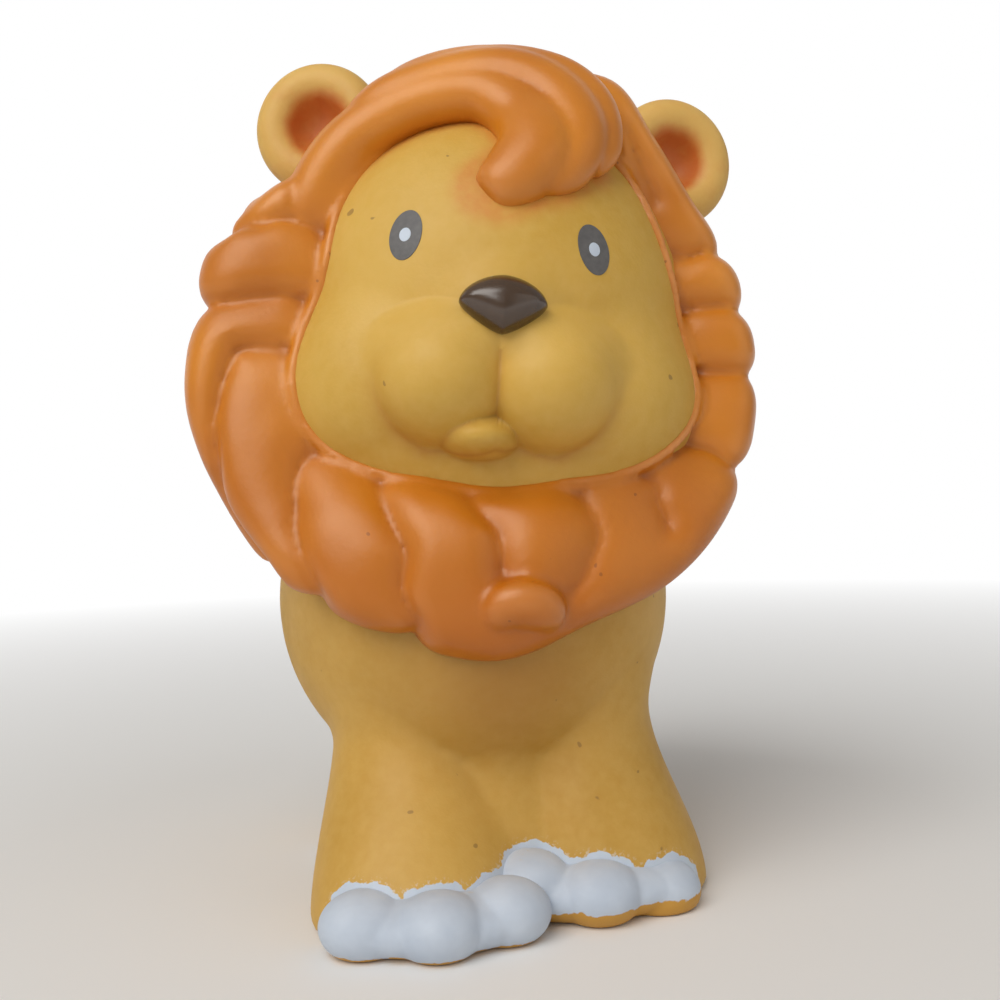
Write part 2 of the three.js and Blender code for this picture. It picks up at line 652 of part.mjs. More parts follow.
function lumpSolid(size, grow) {
  const { centre, radii } = lump(size, 1, grow);
  return ellipsoidSolid(centre, radii.x, radii.y, radii.z, ballFacets);
}

function torso(grow) {
  const ball = shoulderBall(grow).translate([neckCentre.x, neckCentre.y, neckCentre.z]);
  const below = neckAxis.clone().negate();
  const face = neckCentre.clone().addScaledVector(neckAxis, neckFaceRise + grow);
  return union([frontBlock(grow), hindBlock(grow), lumpSolid(rump, grow), lumpSolid(barrel, grow), ball])
    .trimByPlane([below.x, below.y, below.z], below.dot(face));
}

// Toes: three swellings round the front of a paw and one that joins them, clear of the paw by the fit gap
function toeSet(leg, grow = 0) {
  const front = leg.footY - leg.footLength;
  const toes = [-1, 0, 1].map((step) => ellipsoidSolid(
    new THREE.Vector3(leg.toesX + step * toeSpread, front + Math.abs(step) * toeSetBack, toeRise),
    toeHalfWidth + grow, toeHalfLength + grow, toeHalfHeight + grow, smallFacets,
  ));
  toes.push(ellipsoidSolid(
    new THREE.Vector3(leg.toesX, front + toeJoin.setBack, toeJoin.rise),
    toeJoin.halfWidth + grow, toeJoin.halfLength + grow, toeJoin.halfHeight + grow, smallFacets,
  ));
  const ground = toeHalfHeight + toeRise;
  const room = new THREE.BoxGeometry(4 * footHalfWidth, 4 * footHalfLength, ground + grow);
  room.translate(leg.toesX, front, (ground - grow) / 2);
  return union(toes).intersect(solid(room));
}

// Tail: a round cord of vinyl that lies round the left haunch, sunk a little into it
function hindReach(angle, height) {
  return softLargest(hindSections(height, angle), legSoftness);
}

function onHaunch(turns, rises, radius) {
  return turns.map((turn, i) => {
    const angle = turn * degrees;
    const height = tailRise * rises[i];
    const out = hindReach(angle, height) + radius * tailSeatShare;
    return new THREE.Vector3(hindAxis.x + out * Math.cos(angle), hindAxis.y + out * Math.sin(angle), height);
  });
}

function sweptSolid(points, halfWidths, blunt) {
  const curve = new THREE.CatmullRomCurve3(points);
  const geometry = new THREE.SphereGeometry(1, lockFacets[0], ovalFacets);
  const at = geometry.getAttribute('position');
  for (let i = 0; i < at.count; i += 1) {
    const ring = Math.hypot(at.getX(i), at.getZ(i));
    const around = Math.atan2(at.getZ(i), at.getX(i));
    const t = 0.5 - Math.asin(THREE.MathUtils.clamp(at.getY(i), -1, 1)) / Math.PI;
    const place = curve.getPoint(t);
    const tangent = curve.getTangent(t);
    const across = new THREE.Vector3().crossVectors(tangent, new THREE.Vector3(0, 0, 1)).normalize();
    const off = new THREE.Vector3().crossVectors(tangent, across);
    const rounded = ring < 1e-6 ? 0 : (1 - Math.abs(2 * t - 1) ** blunt) ** (1 / blunt);
    const half = rounded * THREE.MathUtils.lerp(halfWidths[0], halfWidths[1], t);
    place.addScaledVector(across, half * Math.cos(around)).addScaledVector(off, half * Math.sin(around));
    at.setXYZ(i, place.x, place.y, place.z);
  }
  return solid(geometry);
}

// Assembly of the solids
const body = torso(0).subtract(plugChamber().translate([neckCentre.x, neckCentre.y, neckCentre.z]));
const bodyRoom = torso(fitGap);
const faceRoom = faceShape(fitGap, roomFacets);
const plug = turned(plugProfile(0));
const plugSeat = turned(plugProfile(fitGap));
const nose = noseShape(0);
const noseSeat = noseShape(fitGap);
const ears = { 1: earShape(1, 0), '-1': earShape(-1, 0) };
const earSeats = union([earShape(1, fitGap), earShape(-1, fitGap)]);
const shoulderRoom = shoulderBall(turnGap);

const head = union([faceShape(0), neckStub(0)])
  .subtract(shoulderRoom)
  .subtract(plugSeat)
  .subtract(noseSeat)
  .subtract(union([eyeSeat(1), eyeSeat(-1)]));
const mane = union([
  hoodShape(), ringShape(wreathShares, wreathFacets), ringShape(slopeShares, slopeFacets),
  ...Object.values(lockShares).map(lockShape),
])
  .subtract(faceRoom)
  .subtract(neckStub(fitGap))
  .subtract(shoulderRoom)
  .subtract(earSeats);

function piece(name, shape, colour, roughness) {
  const material = new THREE.MeshStandardMaterial({ color: colour, roughness, metalness: 0 });
  material.name = name;
  const mesh = new THREE.Mesh(surfaceOf(shape), material);
  mesh.name = name;
  return mesh;
}

const headGroup = new THREE.Group();
headGroup.name = 'head_assembly';
headGroup.position.copy(neckCentre);
headGroup.quaternion.setFromAxisAngle(neckAxis, headTurn * degrees);
headGroup.add(
  piece('head', head, mouldings.vinyl, 0.6),
  piece('mane', mane, mouldings.maneVinyl, 0.4),
  piece('left_ear', ears[1].subtract(faceRoom), mouldings.vinyl, 0.55),
  piece('right_ear', ears['-1'].subtract(faceRoom), mouldings.vinyl, 0.55),
  piece('nose', nose, mouldings.brown, 0.2),
  piece('left_eye', eyeShape(1), mouldings.print, 0.5),
  piece('right_eye', eyeShape(-1), mouldings.print, 0.5),
  piece('left_eye_glint', glintShape(1), mouldings.white, 0.5),
  piece('right_eye_glint', glintShape(-1), mouldings.white, 0.5),
  piece('neck_plug', plug, mouldings.plug, 0.5),
);

const tailPath = onHaunch(tailTurns, tailRiseShares, tailRadius);
const tuftPath = onHaunch(tuftTurns, tuftRiseShares, tuftHalfWidth);
const tuftTip = tuftHalfWidth * tuftTipShare;
const tailSolid = sweptSolid(tailPath, [tailRadius, tailRadius], tailBluntness);
const tuftSolid = sweptSolid(tuftPath, [tuftHalfWidth, tuftTip], tuftBluntness);
const tuftRoom = sweptSolid(tuftPath, [tuftHalfWidth + fitGap, tuftTip + fitGap], tuftBluntness);
const leftToeRoom = union([bodyRoom, toeSet(frontLegs[0], fitGap)]);
const hindToeRoom = union([bodyRoom, toeSet(hindLegs[0], fitGap)]);

const lion = new THREE.Group();
lion.name = 'toy_lion';
lion.add(
  piece('body', body, mouldings.vinyl, 0.6),
  piece('front_right_toes', toeSet(frontLegs[0]).subtract(bodyRoom), mouldings.white, 0.7),
  piece('front_left_toes', toeSet(frontLegs[1]).subtract(leftToeRoom), mouldings.white, 0.7),
  piece('hind_right_toes', toeSet(hindLegs[0]).subtract(bodyRoom), mouldings.white, 0.7),
  piece('hind_left_toes', toeSet(hindLegs[1]).subtract(hindToeRoom), mouldings.white, 0.7),
  piece('tail', tailSolid.subtract(bodyRoom).subtract(tuftRoom), mouldings.vinyl, 0.6),
  piece('tail_tuft', tuftSolid.subtract(bodyRoom), mouldings.maneVinyl, 0.5),
  headGroup,
);

// The figure stands centred on its own bounds
lion.updateMatrixWorld(true);
const bounds = new THREE.Box3().setFromObject(lion, true);
lion.position.set(-(bounds.min.x + bounds.max.x) / 2, -(bounds.min.y + bounds.max.y) / 2, -bounds.min.z);

export default lion;
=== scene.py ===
"""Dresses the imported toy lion: soft vinyl face and body, a glossier orange mane, printed eyes, painted toes.

Shapes are worked out in millimetres. The body's shapes are in the figure's own frame, the head's from the
neck centre with the head straight; both are then placed in the row frame, in metres. The lion faces -Y.
"""
import json
import math

import bpy
import numpy as np
from mathutils import Matrix, Vector


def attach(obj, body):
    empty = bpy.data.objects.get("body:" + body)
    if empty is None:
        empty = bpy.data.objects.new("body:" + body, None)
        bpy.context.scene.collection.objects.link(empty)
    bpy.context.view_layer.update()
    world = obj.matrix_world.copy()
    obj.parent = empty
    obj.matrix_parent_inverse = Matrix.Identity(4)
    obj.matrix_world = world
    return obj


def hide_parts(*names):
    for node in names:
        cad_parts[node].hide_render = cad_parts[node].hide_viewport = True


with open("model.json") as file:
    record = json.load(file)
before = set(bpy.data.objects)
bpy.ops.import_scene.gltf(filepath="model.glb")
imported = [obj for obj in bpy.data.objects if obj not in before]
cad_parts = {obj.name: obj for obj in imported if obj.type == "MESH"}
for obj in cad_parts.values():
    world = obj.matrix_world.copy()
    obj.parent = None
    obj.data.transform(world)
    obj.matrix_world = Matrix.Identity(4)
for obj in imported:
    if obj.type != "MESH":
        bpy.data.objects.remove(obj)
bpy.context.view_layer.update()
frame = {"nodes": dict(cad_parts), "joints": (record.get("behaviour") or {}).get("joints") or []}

MM = 0.001
TINY = 1e-9
FAR = 1e6
SAMPLED_FACES = 4000

# Places of the moving parts
NECK_SET_BACK = 3.0
NECK_HEIGHT = 26.0
NECK_LEAN = math.radians(45)
HEAD_TURN = math.radians(-7)
SHOULDER_RADIUS = 18.5
TURN_GAP = 0.35
SHOULDER_ROOM = SHOULDER_RADIUS + TURN_GAP
NECK_IN_FIGURE = np.array([0.0, NECK_SET_BACK, NECK_HEIGHT])
NECK_IN_ROW = np.array(frame["joints"][0]["pos_m"]) / MM
SHIFT = NECK_IN_ROW - NECK_IN_FIGURE
NECK_AXIS = np.array([0.0, -math.sin(NECK_LEAN), math.cos(NECK_LEAN)])


def turned_about(points, axis, angle):
    """Points turned about an axis through the origin: p cos a + (k x p) sin a + k (k.p)(1 - cos a)."""
    return (points * math.cos(angle) + np.cross(axis, points) * math.sin(angle)
            + np.outer(points @ axis, axis) * (1 - math.cos(angle)))


def head_to_row(points):
    """Head points, from the neck centre, turned as the head stands and placed in the row frame, in metres."""
    flat = points.reshape(-1, 3)
    return ((turned_about(flat, NECK_AXIS, HEAD_TURN) + NECK_IN_ROW) * MM).reshape(points.shape)


def figure_to_row(points):
    """Figure points placed in the row frame, in metres."""
    return (points + SHIFT) * MM


# Grids made into meshes
def grid_shell(points, closed_rows=False):
    """Vertices and faces of a grid whose columns wrap round. Its rows wrap too, or they end in two poles."""
    rows, columns = points.shape[:2]
    row, column = np.meshgrid(np.arange(rows if closed_rows else rows - 1), np.arange(columns), indexing="ij")
    after = (row + 1) % rows
    beside = (column + 1) % columns
    quads = np.stack([row * columns + column, row * columns + beside,
                      after * columns + beside, after * columns + column], -1).reshape(-1, 4)
    vertices = points.reshape(-1, 3)
    if closed_rows:
        return vertices, quads.tolist()
    # the poles: one point each, with a fan of triangles
    inner = points[1:-1].reshape(-1, 3)
    first, last = points[0].mean(0), points[-1].mean(0)
    count = len(inner)
    vertices = np.vstack([inner, first, last])
    kept = quads[columns:-columns] - columns
    ring = np.arange(columns)
    following = (ring + 1) % columns
    fan_first = np.stack([np.full(columns, count), following, ring], -1)
    final = (rows - 3) * columns
    fan_last = np.stack([np.full(columns, count + 1), final + ring, final + following], -1)
    return vertices, kept.tolist() + fan_first.tolist() + fan_last.tolist()


def outward(vertices, faces):
    """The faces, turned over if the volume that they enclose comes out negative."""
    sample = faces[:: max(1, len(faces) // SAMPLED_FACES)]
    triangles = np.array([(f[0], f[k], f[k + 1]) for f in sample for k in range(1, len(f) - 1)])
    a, b, c = (vertices[triangles[:, k]] for k in range(3))
    middle = vertices.mean(0)
    volume = np.einsum("ij,ij->i", a - middle, np.cross(b - middle, c - middle)).sum()
    return faces if volume > 0 else [f[::-1] for f in faces]


def mesh_object(name, vertices, faces, material, values=None):
    """A smooth mesh piece with its place in its vertices, and float attributes for its material."""
    mesh = bpy.data.meshes.new(name)
    mesh.from_pydata(np.asarray(vertices).tolist(), [], faces)
    for key, value in (values or {}).items():
        layer = mesh.attributes.new(key, "FLOAT", "POINT")
        layer.data.foreach_set("value", np.asarray(value, np.float32).ravel())
    mesh.polygons.foreach_set("use_smooth", np.ones(len(mesh.polygons), bool))
    mesh.materials.append(material)
    mesh.update()
    piece = bpy.data.objects.new(name, mesh)
    bpy.context.scene.collection.objects.link(piece)
    return piece


def joined(shells):
    """Several shells as one list of vertices and faces."""
    vertices, faces, count = [], [], 0
    for shell_vertices, shell_faces in shells:
        vertices.append(shell_vertices)
        faces += [[corner + count for corner in face] for face in shell_faces]
        count += len(shell_vertices)
    return np.vstack(vertices), faces


def moulded(shells, grain, rounds):
    """Overlapping shells, in millimetres, fused into one skin as a moulding is, and eased at the creases.

    The skin is remeshed at the grain, then each point moves half way to the middle of its neighbours, for
    some rounds.
    """
    vertices, faces = joined([(v, outward(v, f)) for v, f in shells])
    mesh = bpy.data.meshes.new("shells")
    mesh.from_pydata(vertices.tolist(), [], faces)
    holder = bpy.data.objects.new("shells", mesh)
    bpy.context.scene.collection.objects.link(holder)
    fuse = holder.modifiers.new("fuse", "REMESH")
    fuse.mode = "VOXEL"
    fuse.voxel_size = grain
    ease = holder.modifiers.new("ease", "SMOOTH")
    ease.factor = 0.5
    ease.iterations = rounds
    bpy.context.view_layer.update()
    skin = bpy.data.meshes.new_from_object(holder.evaluated_get(bpy.context.evaluated_depsgraph_get()))
    points = np.empty(len(skin.vertices) * 3)
    skin.vertices.foreach_get("co", points)
    corners = [list(polygon.vertices) for polygon in skin.polygons]
    bpy.data.objects.remove(holder)
    bpy.data.meshes.remove(mesh)
    bpy.data.meshes.remove(skin)
    return points.reshape(-1, 3), corners


# Formulas that the shapes share
def smooth_rise(x, low, high):
    """Nought below low, one above high, and 3 t squared - 2 t cubed between them."""
    t = np.clip((x - low) / (high - low), 0, 1)
    return t * t * (3 - 2 * t)


def cubic(a, b, c, d, u):
    """The piece from b to c of a smooth curve through a, b, c and d, at shares u of the way."""
    return 0.5 * (2 * b + (c - a) * u + (2 * a - 5 * b + 4 * c - d) * u ** 2
                  + (3 * b - a - 3 * c + d) * u ** 3)


def catmull_rom(rows, t):
    """A smooth curve through the rows, whose slope at a row is half the step between its neighbours."""
    rows = np.asarray(rows, float)
    steps = len(rows) - 1
    padded = np.vstack([2 * rows[0] - rows[1], rows, 2 * rows[-1] - rows[-2]])
    place = np.clip(t, 0, 1) * steps
    k = np.minimum(place.astype(int), steps - 1)
    u = (place - k)[:, None]
    return cubic(*(padded[k + i] for i in range(4)), u)


def catmull_rom_loop(rows, t):
    """The same curve, closed."""
    rows = np.asarray(rows, float)
    count = len(rows)
    place = (t % 1) * count
    k = place.astype(int) % count
    u = (place - np.floor(place))[:, None]
    return cubic(*(rows[(k + i - 1) % count] for i in range(4)), u)


def catmull_rom_loop_angles(rows, t):
    """The closed curve through rows whose first value, in degrees, grows by a whole turn over the loop."""
    table = np.asarray(rows, float)
    level = table - np.stack([360 * np.arange(len(table)) / len(table), np.zeros(len(table))], -1)
    curve = catmull_rom_loop(level, t)
    return curve + np.stack([360 * (t % 1), np.zeros(len(t))], -1)


def unit(vectors):
    """Vectors divided by their own length."""
    return vectors / np.maximum(np.linalg.norm(vectors, axis=-1, keepdims=True), TINY)


def whole_turn(count):
    """Equal steps of angle round a circle."""
    return np.arange(count) / count * 2 * math.pi


def exit_distance(start, along, centre, radii):
    """How far rays run before they leave an ellipsoid: the larger root of |(s + t d - c) / r| = 1, or 0."""
    s = (start - centre) / radii
    d = along / radii
    a = (d * d).sum(-1)
    b = (s * d).sum(-1)
    c = (s * s).sum(-1) - 1
    inside = b * b - a * c
    return np.where(inside > 0, np.maximum(0, (np.sqrt(np.maximum(inside, 0)) - b) / a), 0)


def ball_entry(start, along, centre, radius):
    """How far rays run before they enter a ball: the smaller root of |s + t d - c| = r, or very far."""
    s = start - centre
    b = (s * along).sum(-1)
    inside = b * b - ((s * s).sum(-1) - radius ** 2)
    return np.where((inside > 0) & (b < 0), -b - np.sqrt(np.maximum(inside, 0)), FAR)


def soft_largest(distances, softness):
    """The largest of several arrays, a near tie filled by (closeness squared) x softness / 4."""
    most = distances[0]
    for distance in distances[1:]:
        near = np.maximum(0, softness - np.abs(most - distance)) / softness
        most = np.maximum(most, distance) + near * near * softness / 4
    return most


def sphere_directions(rows, columns, pole, crowd=0.45):
    """Unit directions round a pole: the angle from it grows as (1 - crowd) s + crowd s squared."""
    s = np.linspace(0, 1, rows)
    angle = math.pi * ((1 - crowd) * s + crowd * s * s)
    turn = whole_turn(columns)
    pole = unit(np.asarray(pole, float))
    side = unit(np.cross(pole, [0, 0, 1.0]))
    other = np.cross(pole, side)
    return (np.cos(angle)[:, None, None] * pole + np.sin(angle)[:, None, None]
            * (np.cos(turn)[None, :, None] * side + np.sin(turn)[None, :, None] * other))


# Face
FACE_CORE = np.array([0.0, -6.0, 22.0])
# apart, forward, rise, half width, half depth, half height
FACE_SWELLINGS = {
    "skull": (0, 4, 26.3, 17.8, 17.2, 18.2),
    "left_cheek": (8, 7, 18, 11, 13, 10),
    "right_cheek": (-8, 7, 18, 11, 13, 10),
    "left_muzzle": (4.3, 17.5, 18.6, 5.9, 6.5, 5.6),
    "right_muzzle": (-4.3, 17.5, 18.6, 5.9, 6.5, 5.6),
    "bridge": (0, 15, 23.5, 5.5, 7.5, 5),
    "chin": (0, 9.5, 12.5, 13, 9, 7.5),
    "lip": (-1.2, 17.6, 14.0, 3.4, 5.1, 1.9),
}
BROAD_SWELLINGS = ("skull", "left_cheek", "right_cheek", "chin", "bridge")
BROAD_SOFTNESS, LOBE_SOFTNESS, LIP_SOFTNESS = 3.0, 0.5, 0.5
MUZZLE_SOFTNESS_BELOW, MUZZLE_SOFTNESS_GAIN, MUZZLE_MELTS = 0.7, 2.8, (17.0, 23.0)
NOSE_DIRECTION = [0, -22.4, 1.9]
# Painted shade in the hollows: how fast it fades with the gap between two swellings, and how strong it is
LOBE_SHADE, RIM_SHADE, LIP_SHADE = (0.5, 0.45), (0.8, 0.6), (0.4, 0.45)
RIM_SHADE_FADES = (12.0, 21.0)


def swelling_reaches(along):
    """How far each swelling of the face reaches from the face's core along each direction."""
    return {name: exit_distance(FACE_CORE, along, np.array([apart, -forward, rise]), np.array(size))
            for name, (apart, forward, rise, *size) in FACE_SWELLINGS.items()}


def face_reach(along):
    """How far the face lies from its core: its swellings softly joined, and kept above the shoulder."""
    reach = swelling_reaches(along)
    broad = soft_largest([reach[name] for name in BROAD_SWELLINGS], BROAD_SOFTNESS)
    muzzle = soft_largest([reach["left_muzzle"], reach["right_muzzle"]], LOBE_SOFTNESS)
    # the muzzle parts sharply from the cheeks below and melts into them above
    height = (FACE_CORE + along * muzzle[..., None])[..., 2]
    softness = MUZZLE_SOFTNESS_BELOW + MUZZLE_SOFTNESS_GAIN * smooth_rise(height, *MUZZLE_MELTS)
    reach = soft_largest([soft_largest([broad, muzzle], softness), reach["lip"]], LIP_SOFTNESS)
    return np.minimum(reach, ball_entry(FACE_CORE, along, np.zeros(3), SHOULDER_ROOM))


def hollow_shade(first, second, fade, strength):
    """Painted shade where two swellings meet: strength x exp(-the gap between their reaches / fade)."""
    return strength * np.exp(-np.abs(first - second) / fade)


def face_shade(points):
    """The strongest painted shade at each point, in the hollows: between the muzzle's lobes, round them and
    round the lip.
    """
    reach = swelling_reaches(unit(points - FACE_CORE))
    broad = np.max([reach[name] for name in BROAD_SWELLINGS], 0)
    lobes = np.maximum(reach["left_muzzle"], reach["right_muzzle"])
    parting = hollow_shade(reach["left_muzzle"], reach["right_muzzle"], *LOBE_SHADE)
    parting = parting * (lobes > np.maximum(broad, reach["lip"]))
    rim = hollow_shade(lobes, broad, *RIM_SHADE) * (1 - smooth_rise(points[:, 2], *RIM_SHADE_FADES))
    lip = hollow_shade(reach["lip"], np.maximum(lobes, broad), *LIP_SHADE)
    return np.clip(np.max([parting, rim, lip], 0), 0, 1)


def face_shell(rows=230, columns=400):
    """The face: directions all round its core, the pole in the nose, each carried out to the face's reach."""
    along = sphere_directions(rows, columns, NOSE_DIRECTION)
    return grid_shell(FACE_CORE + along * face_reach(along)[..., None])


# Eyes, glints, nose
EYE_AIM = {"left": np.array([7.0, -18.9, 29.2]), "right": np.array([-7.65, -18.7, 29.5])}
EYE_LEAN = {"left": math.radians(-14), "right": math.radians(3)}
EYE_SIZES = dict(half_width=1.42, half_height=2.06, lift=0.05, edge_drop=0.3)
GLINT_SIZES = dict(half_width=0.5, half_height=0.55, lift=0.09, edge_drop=0.3)
RIM_LIFT_SHARE = 0.4
NOSE_HALF_WIDTH, NOSE_HALF_DEPTH = 3.45, 1.9
NOSE_FORWARD, NOSE_RISE, NOSE_TIP = 22.4, 24.1, math.radians(-18)
# the outline's power and half height, above and below
NOSE_ARCH, NOSE_POINT = (1.75, 2.3), (1.3, 2.45)


def face_patch(side, half_width, half_height, lift, edge_drop, rows=18, columns=64):
    """A thin oval that lies on the face round an eye's place: each point of the oval is carried to the face's
    reach plus a lift, and its edge and back drop into the face."""
    aim = unit(EYE_AIM[side] - FACE_CORE)
    surface = FACE_CORE + aim * face_reach(aim[None])[0]
    right = unit(np.cross(aim, [0, 0, 1.0]))
    up = np.cross(right, aim)
    lean = EYE_LEAN[side]
    across = right * math.cos(lean) + up * math.sin(lean)
    upright = up * math.cos(lean) - right * math.sin(lean)
    s = np.linspace(0, 1, rows)
    radius = np.concatenate([np.sin(s * math.pi / 2), [1.0], np.cos(s[1:] * math.pi / 2)])
    height = np.concatenate([np.full(rows, lift), [-edge_drop], np.full(rows - 1, -edge_drop)])
    height[rows - 1] = lift * RIM_LIFT_SHARE
    turn = whole_turn(columns)
    rim = (np.cos(turn)[:, None] * half_width * across + np.sin(turn)[:, None] * half_height * upright)[None]
    spot = surface + radius[:, None, None] * rim
    along = unit(spot - FACE_CORE)
    return grid_shell(FACE_CORE + along * (face_reach(along) + height[:, None])[..., None])


def nose_shell(rows=60, columns=120):
    """The nose: a ball whose outline is |x / a|^p + |z / b|^p = 1, arched above and pointed below."""
    polar = np.linspace(0, math.pi, rows)
    turn = whole_turn(columns)
    cos, sin = np.cos(turn), np.sin(turn)
    upper = sin > 0
    power, height = (np.where(upper, above, below) for above, below in zip(NOSE_ARCH, NOSE_POINT))
    edge = ((np.abs(cos) / NOSE_HALF_WIDTH) ** power + (np.abs(sin) / height) ** power) ** (-1 / power)
    out = np.sin(polar)[:, None]
    x = out * edge * cos
    z = out * edge * sin
    y = -np.cos(polar)[:, None] * np.ones(columns) * NOSE_HALF_DEPTH
    return grid_shell(np.stack([x, y * math.cos(NOSE_TIP) - z * math.sin(NOSE_TIP) - NOSE_FORWARD,
                                y * math.sin(NOSE_TIP) + z * math.cos(NOSE_TIP) + NOSE_RISE], -1))


# Mane
MANE_RISE, MANE_REACH = 21.0, 22.0
MANE_HALF_WIDTH, MANE_HALF_HEIGHT = 25.5, 25.0
LOCK_HALF_WIDTH = 4.0
MANE_CORE = np.array([0.0, 0.0, MANE_RISE])

# The ring of locks: degrees round the face, distance out, depth, half width and half depth, as shares
ROLL = [
    (-88, 0.73, 0.74, 1.70, 1.46), (-69, 0.73, 0.69, 1.30, 1.50), (-50, 0.78, 0.55, 1.14, 1.58),
    (-34, 0.81, 0.48, 0.98, 1.52), (-17, 0.83, 0.37, 0.84, 1.42), (1, 0.84, 0.32, 0.72, 1.34),
    (16, 0.84, 0.30, 0.68, 1.34), (29, 0.84, 0.30, 0.72, 1.32), (43, 0.86, 0.31, 0.52, 1.30),
    (58, 0.91, 0.36, 0.62, 1.20), (71, 0.96, 0.44, 0.88, 1.02), (91, 0.94, 0.50, 1.05, 0.90),
    (109, 0.92, 0.50, 1.00, 0.78), (125, 0.87, 0.48, 0.62, 0.74), (142, 0.85, 0.47, 0.66, 0.78),
    (160, 0.84, 0.48, 1.20, 0.92), (174, 0.84, 0.49, 1.12, 0.95), (189, 0.86, 0.52, 1.10, 0.98),
    (201, 0.86, 0.54, 1.06, 1.08), (217, 0.85, 0.58, 1.12, 1.20), (232, 0.81, 0.65, 1.32, 1.42),
    (250, 0.76, 0.72, 1.42, 1.46),
]
# The creases where locks meet: degrees round the ring's section, from its outer edge over the front to the
# face, and along the ring, from the chin round by the lion's left; then each crease's depth, and how wide it
# is before it and after it
CREASES = {
    "point_to_middle": ([(94, 1), (109, 1), (126, 0), (145, -5), (178, -12)], 1.7, 3.0, 3.5),
    "middle_to_left": ([(78, 15), (88, 19), (100, 24), (115, 26), (165, 26)], 1.4, 4.0, 3.5),
    "left_to_side": ([(90, 40), (94, 42), (101, 44), (110, 47), (165, 47)], 1.3, 3.2, 3.0),
    "side_to_cheek": ([(-40, 62), (20, 62), (72, 62), (97, 63), (113, 62), (165, 62)], 1.9, 2.8, 3.4),
    "cheek_to_lower_bead": ([(-40, 82), (20, 82), (60, 82), (97, 82), (165, 82)], 1.9, 3.4, 2.6),
    "lower_to_upper_bead": ([(-40, 98), (35, 98), (77, 99), (98, 101), (114, 102), (165, 102)],
                            1.9, 2.6, 2.6),
    "upper_bead_to_crown": ([(-40, 115), (35, 115), (95, 118), (114, 121), (165, 121)], 1.8, 2.6, 3.4),
    "crown_strands": ([(93, 154), (100, 146), (104, 137)], 1.1, 2.4, 3.0),
    "forelock_to_crown": ([(25, 168), (76, 164), (107, 158), (134, 153), (165, 152)], 1.3, 3.5, 3.0),
    "small_lock": ([(21, 226), (73, 228), (95, 233)], 1.3, 3.0, 2.6),
    "small_to_round_curl": ([(-40, 243), (15, 243), (33, 240), (64, 238), (96, 234), (111, 233), (165, 233)],
                            1.8, 3.2, 2.8),
    "round_curl_to_hook": ([(-40, 260), (13, 260), (72, 258), (97, 255), (118, 252), (165, 252)],
                           1.7, 2.6, 4.2),
    "hook_to_broad": ([(-40, 322), (14, 322), (16, 306), (46, 297), (66, 287), (80, 277), (91, 270),
                       (102, 269), (116, 269), (165, 269)], 1.9, 2.8, 3.6),
    "broad_to_inner": ([(-40, 333), (20, 333), (37, 333), (60, 329), (78, 324), (93, 317), (107, 310),
                        (127, 306), (165, 306)], 1.6, 4.2, 3.0),
    "inner_to_point": ([(-40, -11), (20, -11), (52, -11), (75, -14), (90, -16), (104, -18), (121, -24),
                        (146, -32), (165, -32)], 1.8, 5.0, 2.2),
}

# Single locks: degrees round the face, distance out, depth and half width, as shares
LOCKS = {
    "small_lock": [(147, 0.97, 0.40, 0.55), (150, 0.90, 0.43, 0.78), (153, 0.82, 0.45, 0.8)],
    "crown_back": [(166, 0.78, 0.24, 0.6), (146, 0.83, 0.22, 0.85), (124, 0.86, 0.2, 0.92),
                   (90, 0.865, 0.2, 1.05), (56, 0.86, 0.2, 0.92), (34, 0.83, 0.22, 0.85),
                   (14, 0.78, 0.24, 0.6)],
    "bead": [(-87, 0.89, 0.93, 0.36), (-87, 0.84, 0.97, 0.46), (-85, 0.81, 0.99, 0.5), (-81, 0.81, 0.99, 0.52),
             (-78, 0.84, 0.97, 0.5), (-78, 0.89, 0.92, 0.42)],
}
FORELOCK = {
    "inner": [(153, 0.72, 0.46, 0.55), (144, 0.81, 0.48, 0.72), (131, 0.88, 0.50, 0.7), (120, 0.91, 0.52, 0.7),
              (107, 0.92, 0.565, 0.7), (95, 0.90, 0.62, 0.72), (86, 0.8, 0.70, 0.78), (82, 0.68, 0.81, 0.84),
              (87, 0.57, 0.86, 0.82), (98, 0.5, 0.89, 0.72)],
    "middle": [(129, 0.9, 0.49, 0.55), (116, 0.96, 0.52, 0.65), (103, 0.97, 0.56, 0.68), (91, 0.97, 0.61, 0.7),
               (81, 0.91, 0.67, 0.72), (74, 0.79, 0.76, 0.7), (73, 0.65, 0.82, 0.62), (80, 0.54, 0.88, 0.5)],
    "outer": [(110, 0.98, 0.52, 0.4), (95, 1.02, 0.56, 0.5), (82, 1.0, 0.6, 0.55), (73, 0.93, 0.65, 0.55),
              (67, 0.8, 0.72, 0.48), (66, 0.67, 0.77, 0.34)],
}
LOCK_BLUNT, FORELOCK_BLUNT = 3.2, 4.5
LIFT_SHARE, LIFT_IN_FRONT = 0.6, (0, 6)


def mane_point(rows):
    """Degrees round, distance out and depth, as shares of the mane's sizes, to points of the head."""
    around = np.radians(rows[:, 0])
    return np.stack([MANE_HALF_WIDTH * rows[:, 1] * np.cos(around), -MANE_REACH * rows[:, 2],
                     MANE_RISE + MANE_HALF_HEIGHT * rows[:, 1] * np.sin(around)], -1)


